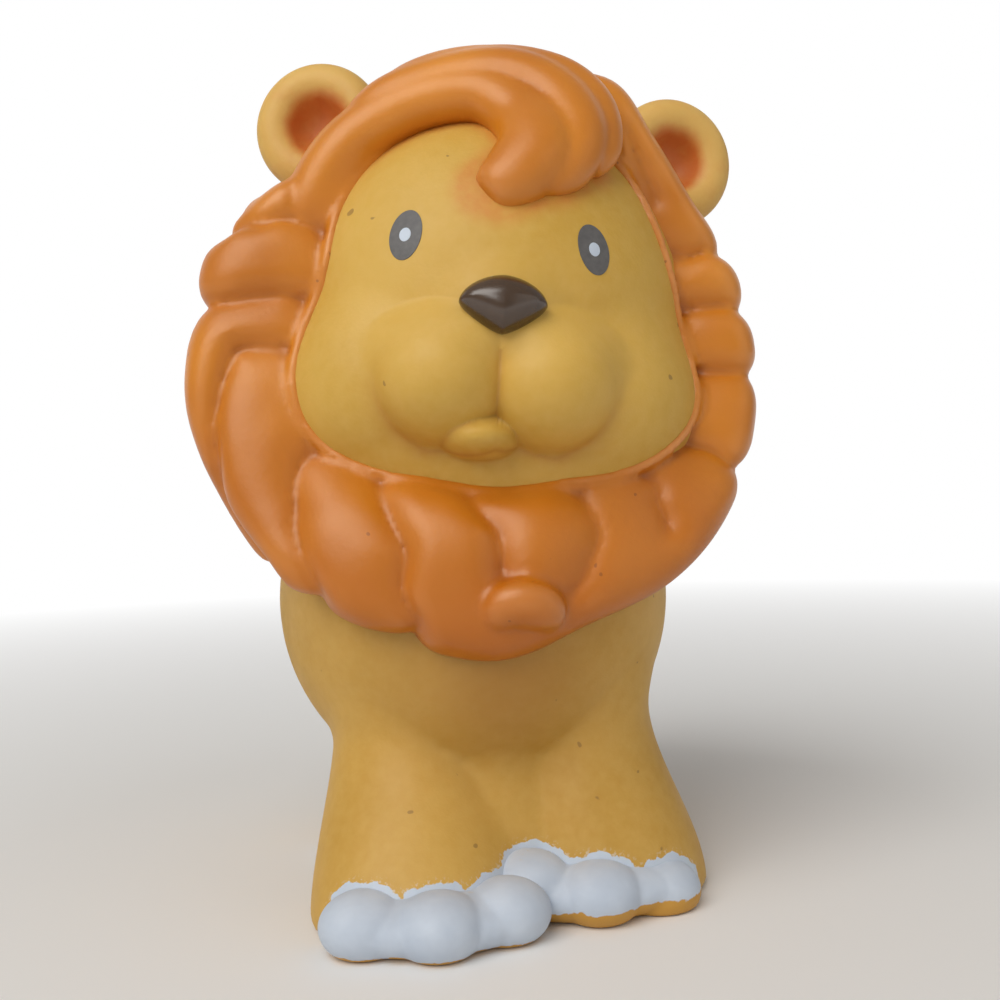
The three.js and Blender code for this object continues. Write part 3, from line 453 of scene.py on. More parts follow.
def clear_of_shoulder(points):
    """Points inside the shoulder's room are moved straight out from the neck centre to the room's edge, those
    in front first towards the mane's core by a share of how deep they lie."""
    depth = np.maximum(SHOULDER_ROOM - np.linalg.norm(points, axis=-1, keepdims=True), 0)
    lift = LIFT_SHARE * smooth_rise(-points[..., 1:2], *LIFT_IN_FRONT)
    points = points + unit(MANE_CORE - points) * depth * lift
    distance = np.linalg.norm(points, axis=-1, keepdims=True)
    return np.where(distance < SHOULDER_ROOM, points * SHOULDER_ROOM / np.maximum(distance, TINY), points)


def lock_shell(rows, blunt=LOCK_BLUNT, depth=0.85, steps=72, columns=36):
    """A lock: an oval carried along a curve, its half width times (1 - |2t - 1|^b)^(1/b) to round its ends."""
    rows = np.asarray(rows, float)
    t = 0.5 - 0.5 * np.cos(np.linspace(0, math.pi, steps))
    places = catmull_rom(mane_point(rows), t)
    slope = unit(np.gradient(places, axis=0))
    outwards = unit(places - MANE_CORE)
    across = unit(np.cross(slope, outwards))
    off = np.cross(slope, across)
    half = LOCK_HALF_WIDTH * catmull_rom(rows[:, 3:], t)[:, 0]
    half = half * np.maximum(0, 1 - np.abs(2 * t - 1) ** blunt) ** (1 / blunt)
    turn = whole_turn(columns)
    points = (places[:, None] + across[:, None] * (half[:, None] * np.cos(turn))[..., None]
              + off[:, None] * (half[:, None] * depth * np.sin(turn))[..., None])
    return grid_shell(points)


# The mane's edge on the face: degrees round, and degrees away from straight ahead, seen from the face's core
EDGE = [
    (270, 46), (297, 48), (316, 54), (332, 60), (347, 68), (360, 71), (375, 71), (388, 67), (402, 67),
    (416, 71), (429, 73), (452, 71), (470, 74), (484, 73), (500, 69), (515, 64), (532, 64), (551, 62),
    (566, 61), (576, 59), (590, 54), (608, 48),
]


def edge_line(t):
    """Points on the face where the mane's edge runs."""
    turn, off = np.radians(catmull_rom_loop_angles(EDGE, t)).T
    along = np.stack([np.sin(off) * np.cos(turn), -np.cos(off), np.sin(off) * np.sin(turn)], -1)
    return FACE_CORE + along * face_reach(along)[:, None], along


def edge_lip_shell(rows=360, columns=14, radius=0.5):
    """The thin lip of the mane on the face: a round section carried along the edge."""
    t = np.arange(rows) / rows
    places, along = edge_line(t)
    slope = unit(np.roll(places, -1, 0) - np.roll(places, 1, 0))
    across = unit(np.cross(slope, along))
    off = np.cross(across, slope)
    turn = whole_turn(columns)
    return grid_shell((places[:, None] + across[:, None] * (radius * np.cos(turn))[:, None]
                       + off[:, None] * (radius * np.sin(turn))[:, None]), closed_rows=True)


SKIRT_SINK, SKIRT_OVERLAP, SKIRT_HALF_THICKNESS = 1.2, 0.3, 0.8


def skirt_shell(rows=160, columns=28):
    """The slope from the lip up to the ring: an oval section whose long axis joins the edge to the ring."""
    t = np.arange(rows) / rows
    places, along = edge_line(t)
    table = np.asarray(ROLL, float)
    roll = catmull_rom_loop(mane_point(table), np.arange(RING_STEPS) / RING_STEPS)
    roll_turn = np.arctan2(roll[:, 2] - MANE_RISE, roll[:, 0])
    turn = np.arctan2(places[:, 2] - MANE_RISE, places[:, 0])
    nearest = np.abs(np.angle(np.exp(1j * (turn[:, None] - roll_turn)))).argmin(1)
    inward = roll[nearest] - places
    middle = places + inward / 2 - along * SKIRT_SINK
    length = np.linalg.norm(inward, axis=1)
    major = unit(inward)
    slope = unit(np.roll(middle, -1, 0) - np.roll(middle, 1, 0))
    minor = unit(np.cross(slope, major))
    around = whole_turn(columns)
    half_length = (length / 2 + SKIRT_OVERLAP)[:, None]
    return grid_shell(middle[:, None] + major[:, None] * (half_length * np.cos(around))[..., None]
                      + minor[:, None] * (SKIRT_HALF_THICKNESS * np.sin(around))[:, None], closed_rows=True)


# The ring's section: its power towards the face, outside, and what the chin adds outside
SECTION_POWER, OUTER_POWER, CHIN_POWER = 2.3, 2.0, 1.4
RING_STEPS = 720
LEAST_REACH, MOST_FORWARD, EVENED_STEPS = 1.0, 0.9, 8
# How much of a crease's depth is gone at the face, and the section's degrees over which it goes
CREASE_LOSS, CREASE_FADES = 0.65, (125, 170)
CREASE_STEPS = 5


def ring_frame(turn):
    """The ring's middle line, the way outwards from the face, and its half sizes outwards and forwards."""
    table = np.asarray(ROLL, float)
    t = np.asarray(turn, float) / 360
    places = catmull_rom_loop(mane_point(table), t)
    outwards = places - MANE_CORE
    outwards[:, 1] = 0
    return places, unit(outwards), LOCK_HALF_WIDTH * catmull_rom_loop(table[:, 3:], t)


def reach_to_face(turns):
    """The half width towards the face at each turn: the ring's section, |w / a|^p + |d / b|^p = 1, solved for
    a so that it runs through the mane's edge on the face, then evened out over its neighbours."""
    places, outwards, half = ring_frame(np.arange(turns) * 360 / turns)
    edge = edge_line(np.arange(turns) / turns)[0]
    edge_turn = np.arctan2(edge[:, 2] - MANE_RISE, edge[:, 0])
    ring_turn = np.arctan2(places[:, 2] - MANE_RISE, places[:, 0])
    nearest = np.abs(np.angle(np.exp(1j * (ring_turn[:, None] - edge_turn)))).argmin(1)
    inward = ((places - edge[nearest]) * outwards).sum(1)
    forward = np.clip((places[:, 1] - edge[nearest][:, 1]) / half[:, 1], 0, MOST_FORWARD)
    reach = np.maximum(inward, LEAST_REACH) / (1 - forward ** SECTION_POWER) ** (1 / SECTION_POWER)
    return np.mean([np.roll(reach, step) for step in range(-EVENED_STEPS, EVENED_STEPS + 1)], 0)


def ring_surface(turn, section):
    """Points of the ring of locks and their directions from its middle line: at each turn along a closed
    curve, a section |w / a|^p + |d / b|^p = 1, an ellipse outside and behind, fuller at the chin and towards
    the face."""
    places, outwards, half = ring_frame(turn.ravel())
    table_turn = np.arange(RING_STEPS + 1) * 360 / RING_STEPS
    inner = np.interp(turn.ravel() % 360, table_turn, np.append(REACH_TO_FACE, REACH_TO_FACE[0]))
    cos, sin = np.cos(np.radians(section)).ravel(), np.sin(np.radians(section)).ravel()
    chin = (0.5 + 0.5 * np.cos(np.radians(turn.ravel()))) ** 2
    outer = 2 / (OUTER_POWER + CHIN_POWER * chin)
    power = np.where(sin > 0, np.where(cos < 0, 2 / SECTION_POWER, outer), 1.0)
    wide, deep = np.sign(cos) * np.abs(cos) ** power, np.sign(sin) * np.abs(sin) ** power
    wide = wide * np.where(cos < 0, inner, half[:, 0])
    offset = outwards * wide[:, None] + np.array([0, -1.0, 0]) * (half[:, 1] * deep)[:, None]
    return (places + offset).reshape(*turn.shape, 3), unit(offset).reshape(*turn.shape, 3)


def distance_to_line(points, line):
    """How far points are from a line of short straight steps."""
    nearest = np.full(points.shape[:-1], FAR)
    for start, stop in zip(line[:-1], line[1:]):
        step = stop - start
        share = np.clip((points - start) @ step / max(step @ step, TINY), 0, 1)
        nearest = np.minimum(nearest, np.linalg.norm(points - start - share[..., None] * step, axis=-1))
    return nearest


def crease_depth(points, turn, section):
    """How far creases draw the ring in: depth x (1 - sqrt(1 - (1 - d / width)^2)) at a distance d."""
    deepest = np.zeros(points.shape[:-1])
    for rows, depth, before, after in CREASES.values():
        rows = np.asarray(rows, float)
        sections, turns = catmull_rom(rows, np.linspace(0, 1, CREASE_STEPS * len(rows))).T
        line = ring_surface(turns, sections)[0]
        crease_turn = np.interp(section, rows[:, 0], rows[:, 1])
        past = (turn - crease_turn + 180) % 360 > 180
        share = np.clip(distance_to_line(points, line) / np.where(past, after, before), 0, 1)
        deepest = np.maximum(deepest, depth * (1 - np.sqrt(1 - (1 - share) ** 2)))
    return deepest * (1 - CREASE_LOSS * smooth_rise(section, *CREASE_FADES))


def roll_shell(rows=1100, columns=150):
    """The ring of locks: its surface drawn in where the locks meet."""
    section = np.arange(columns) / columns * 360
    section = np.where(section > 270, section - 360, section)
    turn, section = np.meshgrid(np.arange(rows) / rows * 360, section, indexing="ij")
    points, out = ring_surface(turn, section)
    return grid_shell(points - out * crease_depth(points, turn, section)[..., None], closed_rows=True)


REACH_TO_FACE = reach_to_face(RING_STEPS)
HOOD_CORE = np.array([0.0, -0.5, 21.5])
HOOD_HALF_WIDTH, HOOD_HALF_HEIGHT, HOOD_BEHIND, HOOD_IN_FRONT = 24.0, 23.5, 16.5, 13.0
HOOD_LOCKS, HOOD_CREASE, HOOD_CREASE_POWER = 12, 0.9, 1.5


def hood_shell(rows=120, columns=220):
    """The hood: an ellipsoid, deeper behind than in front, creased between locks that swirl to the back."""
    along = sphere_directions(rows, columns, [0, 1.0, 0.01], crowd=0.0)
    deep = np.where(along[..., 1] > 0, HOOD_BEHIND, HOOD_IN_FRONT)
    radii = np.stack([np.full_like(deep, HOOD_HALF_WIDTH), deep, np.full_like(deep, HOOD_HALF_HEIGHT)], -1)
    around = np.arctan2(along[..., 2], along[..., 0]) + along[..., 1]
    crease = HOOD_CREASE * (1 - np.abs(np.sin(around * HOOD_LOCKS / 2))) ** HOOD_CREASE_POWER
    crease = crease * np.hypot(along[..., 0], along[..., 2])
    reach = exit_distance(HOOD_CORE, along, HOOD_CORE, radii) - crease
    reach = np.minimum(reach, ball_entry(HOOD_CORE, along, np.zeros(3), SHOULDER_ROOM))
    return grid_shell(HOOD_CORE + along * reach[..., None])


# Ears
EAR_CENTRES = {1: np.array([16.2, -4.5, 41.7]), -1: np.array([-16.6, -4.5, 42.5])}
EAR_RIM, EAR_RADIUS, EAR_CUP, EAR_SPLAY = 1.85, 6.0, 2.4, math.radians(12)
# how far the rim rolls in, the cup's floor as a share of its depth, the powers of its spacing and slope
RIM_ROLL, CUP_FLOOR, CUP_SPACING, CUP_SLOPE = math.pi * 0.86, 0.35, 0.8, 3
# the orange wash in the cup: where it fades out, from the ear's middle, and how far back it goes
WASH_FADES, WASH_BACK = (-3.7, -2.3), 1.2


def ear_shell(side, rows=72, columns=120):
    """An ear: a profile turned about its own axis, splayed outwards. The profile is a flat back, a rim rolled
    in as an arc, and a cup that falls as the distance from the middle to a power."""
    centre = EAR_RADIUS - EAR_RIM
    angle = np.linspace(-math.pi / 2, RIM_ROLL, 40)
    roll_out = centre + EAR_RIM * np.cos(angle)
    roll_up = EAR_RIM * np.sin(angle)
    inward = np.linspace(1, 0, 24)[1:] ** CUP_SPACING
    cup_out = roll_out[-1] * inward
    floor = EAR_CUP * CUP_FLOOR
    cup_up = -floor + (roll_up[-1] + floor) * inward ** CUP_SLOPE
    back_out = np.linspace(0, centre, 10)[:-1]
    out = np.concatenate([back_out, roll_out, cup_out])
    up = np.concatenate([np.full(len(back_out), -EAR_RIM), roll_up, cup_up])
    turn = whole_turn(columns)
    points = np.stack([out[:, None] * np.cos(turn), -up[:, None] * np.ones(columns),
                       out[:, None] * np.sin(turn)], -1)
    splay = EAR_SPLAY * side
    x = points[..., 0] * math.cos(splay) - points[..., 1] * math.sin(splay)
    y = points[..., 0] * math.sin(splay) + points[..., 1] * math.cos(splay)
    return grid_shell(np.stack([x, y, points[..., 2]], -1) + EAR_CENTRES[side])


# Body
# Foot and top: their places, apart and back, and half sizes; how far apart its toes are, and their tilt
FRONT_LEGS = [
    dict(foot=(-7.2, -9.5), top=(-7.2, -2.4), toes=-6.4, toe_slope=0, height=16, foot_size=(9.2, 9),
         top_size=(6.6, 8)),
    dict(foot=(10.0, -5.5), top=(8.0, -2.4), toes=7.4, toe_slope=-0.8, height=16, foot_size=(9.2, 9),
         top_size=(7.2, 8)),
]
HIND_LEGS = [
    dict(foot=(-5.9, 16.5), top=(-5.9, 18), toes=-5.9, toe_slope=0, height=18, foot_size=(9.2, 9),
         top_size=(6.6, 8)),
    dict(foot=(6.6, 19.5), top=(6.6, 18), toes=6.6, toe_slope=0, height=18, foot_size=(9.2, 9),
         top_size=(6.6, 8)),
]
FRONT_AXIS, FRONT_TOP = np.array([0, -7.5]), 26.0
HIND_AXIS, HIND_TOP = np.array([0, 18.0]), 23.0
LEG_SOFTNESS = 2.5
SOLE_ROUNDING = 0.8
# What fills between two legs: its depth as a share of theirs, at the foot and at the top
FILL_FOOT, FILL_TOP = 0.48, 0.9
# apart, forward, rise, half width, half depth, half height
RUMP = (0, -17, 23, 15.5, 12.5, 12.5)
BARREL = (0, -12, 22.5, 15.5, 16, 13)
# The balls above the legs lie a little inside the rump and the shoulder
INSET = 0.3
RUMP_BALL = (np.array([RUMP[0], -RUMP[1], RUMP[2]]), np.array([RUMP[3] - INSET, RUMP[4] - INSET, RUMP[5]]))
CHEST_BALL = (NECK_IN_FIGURE, np.full(3, SHOULDER_RADIUS - INSET))
SHOULDER_CUT = 13.5
LEAST_HALF_WIDTH = 1e-3


def flat_exit(axis, turn, centre, half):
    """How far rays in a level plane run from an upright axis before they leave an ellipse."""
    along = np.stack([np.cos(turn), np.sin(turn)], -1)
    return exit_distance(axis, along, centre, np.maximum(half, LEAST_HALF_WIDTH))


def leg_exit(axis, turn, height, leg):
    """How far rays run inside a leg's oval section, whose place and size ease from its foot to its top."""
    ease = smooth_rise(height, 0, leg["height"])[..., None]
    centre = np.array(leg["foot"]) * (1 - ease) + np.array(leg["top"]) * ease
    half = np.array(leg["foot_size"]) * (1 - ease) + np.array(leg["top_size"]) * ease
    return flat_exit(axis, turn, centre, half)


def ball_exit(axis, turn, height, centre, radii):
    """How far rays run inside an ellipsoid's section at a height: its sizes times sqrt(1 - (h / r)^2)."""
    share = 1 - ((height - centre[2]) / radii[2]) ** 2
    scale = np.sqrt(np.maximum(share, 0))[..., None]
    return np.where(share > 0, flat_exit(axis, turn, np.array(centre[:2]), np.array(radii[:2]) * scale), 0)


def between(pair):
    """What fills between a pair of legs and leaves a shallow groove."""
    right, left = pair
    return dict(
        foot=((left["foot"][0] + right["foot"][0]) / 2, (left["foot"][1] + right["foot"][1]) / 2),
        top=(0, left["top"][1]), height=left["height"],
        foot_size=((left["foot"][0] - right["foot"][0]) / 2, left["foot_size"][1] * FILL_FOOT),
        top_size=((left["top"][0] - right["top"][0]) / 2, left["top_size"][1] * FILL_TOP))


def upright_shell(axis, top, legs, ball, rows=120, columns=200):
    """A pair of legs with the ball above: at each height and turn, the softly joined sections' reach from the
    axis, rounded in at the sole."""
    height, turn = np.meshgrid(np.linspace(0, top, rows), whole_turn(columns), indexing="ij")
    reaches = [leg_exit(axis, turn, height, leg) for leg in (*legs, between(legs))]
    reaches.append(ball_exit(axis, turn, height, *ball))
    low = np.maximum(0, SOLE_ROUNDING - height)
    inset = SOLE_ROUNDING - np.sqrt(np.maximum(0, SOLE_ROUNDING ** 2 - low ** 2))
    reach = soft_largest(reaches, LEG_SOFTNESS) - inset
    points = np.stack([axis[0] + reach * np.cos(turn), axis[1] + reach * np.sin(turn), height], -1)
    foot_middle = np.broadcast_to([axis[0], axis[1], 0], (1, columns, 3))
    head_middle = np.broadcast_to([axis[0], axis[1], top], (1, columns, 3))
    return grid_shell(np.concatenate([foot_middle, points, head_middle]))


def swelling_shell(size, rows=60, columns=96):
    """An ellipsoid: its place plus unit directions times its half sizes."""
    apart, forward, rise, *radii = size
    along = sphere_directions(rows, columns, [0, 0.01, 1.0], crowd=0.0)
    return grid_shell(np.array([apart, -forward, rise]) + along * np.array(radii))


def shoulder_shell(rows=80, columns=120):
    """The shoulder ball, cut flat across the neck axis: it reaches the radius, or cut / cosine if less."""
    along = sphere_directions(rows, columns, NECK_AXIS, crowd=0.0)
    level = along @ NECK_AXIS
    flat = SHOULDER_CUT / np.maximum(level, TINY)
    reach = np.where(level > 0, np.minimum(SHOULDER_RADIUS, flat), SHOULDER_RADIUS)
    return grid_shell(NECK_IN_FIGURE + along * reach[..., None])


def body_shells():
    """What the body is moulded from: two pairs of legs, the rump, the barrel and the shoulder."""
    return [upright_shell(FRONT_AXIS, FRONT_TOP, FRONT_LEGS, CHEST_BALL),
            upright_shell(HIND_AXIS, HIND_TOP, HIND_LEGS, RUMP_BALL),
            swelling_shell(RUMP), swelling_shell(BARREL), shoulder_shell()]


# Toes
TOE_HALF = np.array([3.7, 3.5, 2.7])
TOE_JOIN_HALF = np.array([8.6, 4.3, 2.4])
TOE_JOIN_FROM_TOES = [0, 0.6, -0.2]
TOE_RISE, TOE_SPREAD, TOE_SET_BACK, TOE_SINK, TOE_OFF_FLOOR = 2.1, 5.6, 1.9, 0.5, 0.02
# The heights over which the white paint stops above the sole, on each side
BARE_SOLE = {"right": (0.0, 0.9), "left": (0.9, 2.1)}


def toe_places(leg):
    """The middles of a paw's three toes: the outer two set back, and raised or lowered by the slope."""
    front = leg["foot"][1] - leg["foot_size"][1] + TOE_SINK
    return np.array([[leg["toes"] + step * TOE_SPREAD, front + abs(step) * TOE_SET_BACK,
                      TOE_RISE + step * leg["toe_slope"]] for step in (-1, 0, 1)])


def toe_shells(leg):
    """Three low swellings round the front of a paw and one that joins them, flat at the floor."""
    along = sphere_directions(40, 64, [0, 0.01, 1.0], crowd=0.0)
    places = toe_places(leg)
    shells = []
    swellings = [(toe, TOE_HALF) for toe in places] + [(places.mean(0) + TOE_JOIN_FROM_TOES, TOE_JOIN_HALF)]
    for middle, half in swellings:
        points = middle + along * half
        points[..., 2] = np.maximum(points[..., 2], TOE_OFF_FLOOR)
        shells.append(grid_shell(points))
    return shells


# Tail
TAIL_RISE, TAIL_RADIUS, TAIL_BLUNT, ON_SKIN = 27.0, 1.9, 6, 0.75
TUFT_HALF_WIDTH, TUFT_TIP, TUFT_BLUNT, TUFT_LOCKS, TUFT_GROOVE = 3.2, 0.6, 2, 8, 0.1
# Degrees round the haunch, and height as a share of the tail's rise; then the root, from the first place
TAIL_ROWS = [(90, 1), (72, 0.9), (52, 0.75), (30, 0.66), (8, 0.7), (-8, 0.8), (-17, 0.89)]
TUFT_ROWS = [(-10, 0.82), (-22, 0.93), (-38, 1.02)]
TAIL_ROOT = np.array([-0.8, -2.4, 0.9])


def on_haunch(rows, radius):
    """Places round the haunch: its reach at each turn and height, plus most of the radius that lies on it."""
    rows = np.asarray(rows, float)
    turn = np.radians(rows[:, 0])
    height = TAIL_RISE * rows[:, 1]
    reaches = [leg_exit(HIND_AXIS, turn, height, leg) for leg in (*HIND_LEGS, between(HIND_LEGS))]
    reaches.append(ball_exit(HIND_AXIS, turn, height, *RUMP_BALL))
    out = soft_largest(reaches, LEG_SOFTNESS) + radius * ON_SKIN
    return np.stack([out * np.cos(turn), HIND_AXIS[1] + out * np.sin(turn), height], -1)


def swept_shell(path, first, last, blunt, rows=90, columns=40, grooves=0):
    """A round section carried along a path, its radius times (1 - |2t - 1|^b)^(1/b), so that its ends round
    off, with grooves along it where it is a tuft."""
    t = 0.5 - 0.5 * np.cos(np.linspace(0, math.pi, rows))
    places = catmull_rom(path, t)
    slope = unit(np.gradient(places, axis=0))
    across = unit(np.cross(slope, [0, 0, 1.0]))
    off = np.cross(slope, across)
    half = (first + (last - first) * t) * np.maximum(0, 1 - np.abs(2 * t - 1) ** blunt) ** (1 / blunt)
    turn = whole_turn(columns)
    ripple = 1 - TUFT_GROOVE * (1 - np.abs(np.sin(turn * grooves / 2))) if grooves else np.ones(columns)
    points = (places[:, None] + across[:, None] * (half[:, None] * ripple * np.cos(turn))[..., None]
              + off[:, None] * (half[:, None] * ripple * np.sin(turn))[..., None])
    return grid_shell(points)


# Materials
# A noise runs from about 0.3 to 0.7, so most spreads of one start and end there. Its scales are per metre.
def linear(red, green, blue):
    """A colour written as it looks, 0 to 255, for the shader."""
    values = np.array([red, green, blue]) / 255
    return (*np.where(values <= 0.04045, values / 12.92, ((values + 0.055) / 1.055) ** 2.4).tolist(), 1.0)


class Nodes:
    """Short words for building a material's nodes."""

    def __init__(self, name):
        self.material = bpy.data.materials.new(name)
        self.material.use_nodes = True
        self.tree = self.material.node_tree
        self.shader = self.tree.nodes["Principled BSDF"]
        self.object_place = self.tree.nodes.new("ShaderNodeTexCoord").outputs["Object"]

    def add(self, kind, **inputs):
        node = self.tree.nodes.new(kind)
        for key, value in inputs.items():
            socket = node.inputs[key.replace("_", " ")]
            if isinstance(value, bpy.types.NodeSocket):
                self.tree.links.new(value, socket)
            else:
                socket.default_value = value
        return node

    def noise(self, scale, detail=3.0, roughness=0.55, place=None):
        node = self.add("ShaderNodeTexNoise", Scale=scale, Detail=detail, Roughness=roughness)
        self.tree.links.new(place or self.object_place, node.inputs["Vector"])
        return node.outputs["Fac"]

    def spread(self, value, low, high, to_low=0.0, to_high=1.0):
        node = self.add("ShaderNodeMapRange", Value=value)
        node.inputs["From Min"].default_value, node.inputs["From Max"].default_value = low, high
        node.inputs["To Min"].default_value, node.inputs["To Max"].default_value = to_low, to_high
        return node.outputs["Result"]

    def sum(self, first, second, operation="ADD"):
        node = self.tree.nodes.new("ShaderNodeMath")
        node.operation = operation
        for socket, value in zip(node.inputs, (first, second)):
            if isinstance(value, bpy.types.NodeSocket):
                self.tree.links.new(value, socket)
            else:
                socket.default_value = value
        return node.outputs[0]

    def blend(self, share, first, second):
        node = self.tree.nodes.new("ShaderNodeMix")
        node.data_type = "RGBA"
        for key, value in (("Factor_Float", share), ("A_Color", first), ("B_Color", second)):
            socket = next(s for s in node.inputs if s.identifier == key)
            if isinstance(value, bpy.types.NodeSocket):
                self.tree.links.new(value, socket)
            else:
                socket.default_value = value
        return next(s for s in node.outputs if s.identifier == "Result_Color")

    def value(self, name):
        node = self.tree.nodes.new("ShaderNodeAttribute")
        node.attribute_name = name
        return node.outputs["Fac"]

    def height(self):
        node = self.tree.nodes.new("ShaderNodeSeparateXYZ")
        self.tree.links.new(self.object_place, node.inputs[0])
        return node.outputs["Z"]

    def bump(self, height, strength, distance):
        node = self.add("ShaderNodeBump", Strength=strength, Distance=distance, Height=height)
        self.tree.links.new(node.outputs["Normal"], self.shader.inputs["Normal"])

    def link(self, value, key):
        self.tree.links.new(value, self.shader.inputs[key])

    def set(self, **inputs):
        for key, value in inputs.items():
            self.shader.inputs[key.replace("_", " ")].default_value = value
        return self.material


def vinyl_colour(nodes, light, deep):
    """Vinyl in two close tones in broad clouds, with faint mottling and a few dark specks."""
    clouds = nodes.spread(nodes.noise(55.0, 2.0), 0.35, 0.68)
    colour = nodes.blend(clouds, light, deep)
    mottle = nodes.spread(nodes.noise(900.0, 3.0), 0.3, 0.75, 0.0, 0.22)
    colour = nodes.blend(mottle, colour, linear(222, 184, 106))
    specks = nodes.spread(nodes.noise(800.0, 1.0, 0.4), 0.79, 0.81)
    return nodes.blend(nodes.sum(specks, 0.55, "MULTIPLY"), colour, linear(120, 88, 52))


def vinyl_finish(nodes):
    """A satin skin: fine grain over slow waves, a roughness that wanders, and light that enters a little."""
    grain = nodes.noise(2600.0, 4.0)
    waves = nodes.noise(260.0, 2.0)
    nodes.bump(nodes.sum(grain, nodes.sum(waves, 1.5, "MULTIPLY")), 0.12, 0.0002)
    nodes.link(nodes.spread(nodes.noise(120.0), 0.3, 0.7, 0.46, 0.60), "Roughness")
    return nodes.set(Subsurface_Weight=0.12, Subsurface_Radius=(1.0, 0.55, 0.25), Subsurface_Scale=0.0012,
                     Specular_IOR_Level=0.42)


YELLOW_TONES = linear(212, 171, 80), linear(197, 154, 58)


def yellow_vinyl():
    """The tail's vinyl."""
    nodes = Nodes("yellow_vinyl")
    nodes.link(vinyl_colour(nodes, *YELLOW_TONES), "Base Color")
    return vinyl_finish(nodes)


def face_vinyl():
    """The face's vinyl, orange where the mane's paint has drifted on to it, browner with painted shade in its
    hollows.
    """
    nodes = Nodes("face_vinyl")
    colour = vinyl_colour(nodes, *YELLOW_TONES)
    drift = nodes.sum(nodes.value("drift"), nodes.spread(nodes.noise(700.0), 0.3, 0.7, 0.55, 1.2), "MULTIPLY")
    colour = nodes.blend(drift, colour, linear(205, 118, 46))
    # painted shade: a browner tone in the hollows round the muzzle's lobes and the lip
    nodes.link(nodes.blend(nodes.value("hollow_shade"), colour, linear(168, 104, 30)), "Base Color")
    return vinyl_finish(nodes)


def body_vinyl():
    """The body's vinyl, browner on the chest with painted shade under the mane and the mane's orange drifted
    on. The toes' white paint strays on to it in a ragged line.
    """
    nodes = Nodes("body_vinyl")
    colour = vinyl_colour(nodes, linear(206, 163, 78), linear(188, 144, 56))
    edge = nodes.sum(nodes.value("paint"), nodes.spread(nodes.noise(900.0, 4.0), 0.3, 0.7, -0.25, 0.25))
    solid = nodes.spread(edge, 0.50, 0.56)
    near = nodes.spread(nodes.value("paint"), 0.02, 0.5)
    dust = nodes.sum(nodes.spread(nodes.noise(3500.0, 2.0), 0.56, 0.64), near, "MULTIPLY")
    colour = nodes.blend(nodes.sum(dust, 0.45, "MULTIPLY"), colour, linear(216, 214, 206))
    # painted shade under the mane, with the mane's orange drifted on, makes the chest browner
    colour = nodes.blend(nodes.value("shade_and_drift"), colour, linear(158, 100, 30))
    nodes.link(nodes.blend(solid, colour, linear(196, 206, 219)), "Base Color")
    return vinyl_finish(nodes)


def orange_vinyl():
    """The mane's satin orange: browner low down with painted shade and warm reflection, browner in the creases
    with painted shade, paler where it bends over with a painted highlight and some worn paint, specked.
    """
    nodes = Nodes("orange_vinyl")
    clouds = nodes.spread(nodes.noise(70.0, 2.0), 0.35, 0.65)
    colour = nodes.blend(clouds, linear(214, 133, 32), linear(192, 110, 12))
    # painted shade and warm reflection: the lower mane deeper and browner, by height
    low = nodes.spread(nodes.height(), 0.048, 0.024)
    colour = nodes.blend(nodes.sum(low, 0.75, "MULTIPLY"), colour, linear(180, 94, 2))
    bend = nodes.value("bend")
    # painted shade in the creases: browner where the surface hollows
    crease = nodes.spread(bend, -0.35, -0.05, 1.0, 0.0)
    colour = nodes.blend(nodes.sum(crease, 0.6, "MULTIPLY"), colour, linear(140, 62, 6))
    # painted highlight, with some worn paint: paler on the raised edges where the surface bulges
    crest_wear_and_sheen = nodes.spread(bend, 0.10, 0.45)
    colour = nodes.blend(nodes.sum(crest_wear_and_sheen, 0.6, "MULTIPLY"), colour, linear(228, 158, 98))
    specks = nodes.spread(nodes.noise(900.0, 1.0, 0.4), 0.79, 0.81)
    colour = nodes.blend(nodes.sum(specks, 0.5, "MULTIPLY"), colour, linear(110, 52, 20))
    nodes.link(colour, "Base Color")
    grain = nodes.noise(2200.0, 3.0)
    waves = nodes.noise(200.0, 2.0)
    nodes.bump(nodes.sum(grain, nodes.sum(waves, 2.0, "MULTIPLY")), 0.10, 0.0002)
    nodes.link(nodes.spread(nodes.noise(160.0), 0.3, 0.7, 0.36, 0.46), "Roughness")
    return nodes.set(Subsurface_Weight=0.08, Subsurface_Radius=(1.0, 0.4, 0.15), Subsurface_Scale=0.001,
                     Specular_IOR_Level=0.7, Specular_Tint=(1.0, 0.87, 0.72, 1.0),
                     Coat_Weight=0.08, Coat_Roughness=0.32)


def ear_vinyl():
    """The ears: yellow rims, the cup washed with the mane's orange."""
    nodes = Nodes("ear_vinyl")
    colour = vinyl_colour(nodes, linear(220, 178, 98), linear(208, 162, 78))
    wash = nodes.sum(nodes.value("wash"), nodes.spread(nodes.noise(500.0), 0.3, 0.7, -0.15, 0.15))
    nodes.link(nodes.blend(wash, colour, linear(200, 112, 48)), "Base Color")
    return vinyl_finish(nodes)


def nose_paint():
    """Glossy dark brown paint."""
    nodes = Nodes("nose_paint")
    colour = nodes.blend(nodes.spread(nodes.noise(400.0), 0.3, 0.7), linear(70, 48, 26), linear(58, 38, 20))
    nodes.link(colour, "Base Color")
    nodes.bump(nodes.noise(1500.0), 0.06, 0.0002)
    nodes.link(nodes.spread(nodes.noise(300.0), 0.3, 0.7, 0.20, 0.28), "Roughness")
    return nodes.set(Specular_IOR_Level=0.7, Coat_Weight=0.3, Coat_Roughness=0.2)


def eye_print():
    """Printed grey, a little mottled."""
    nodes = Nodes("eye_print")
    mottle = nodes.spread(nodes.noise(1800.0), 0.3, 0.7)
    nodes.link(nodes.blend(mottle, linear(88, 86, 86), linear(100, 98, 97)), "Base Color")
    nodes.bump(nodes.noise(3000.0), 0.08, 0.0001)
    nodes.link(nodes.spread(nodes.noise(500.0), 0.3, 0.7, 0.42, 0.52), "Roughness")
    return nodes.set(Specular_IOR_Level=0.4)


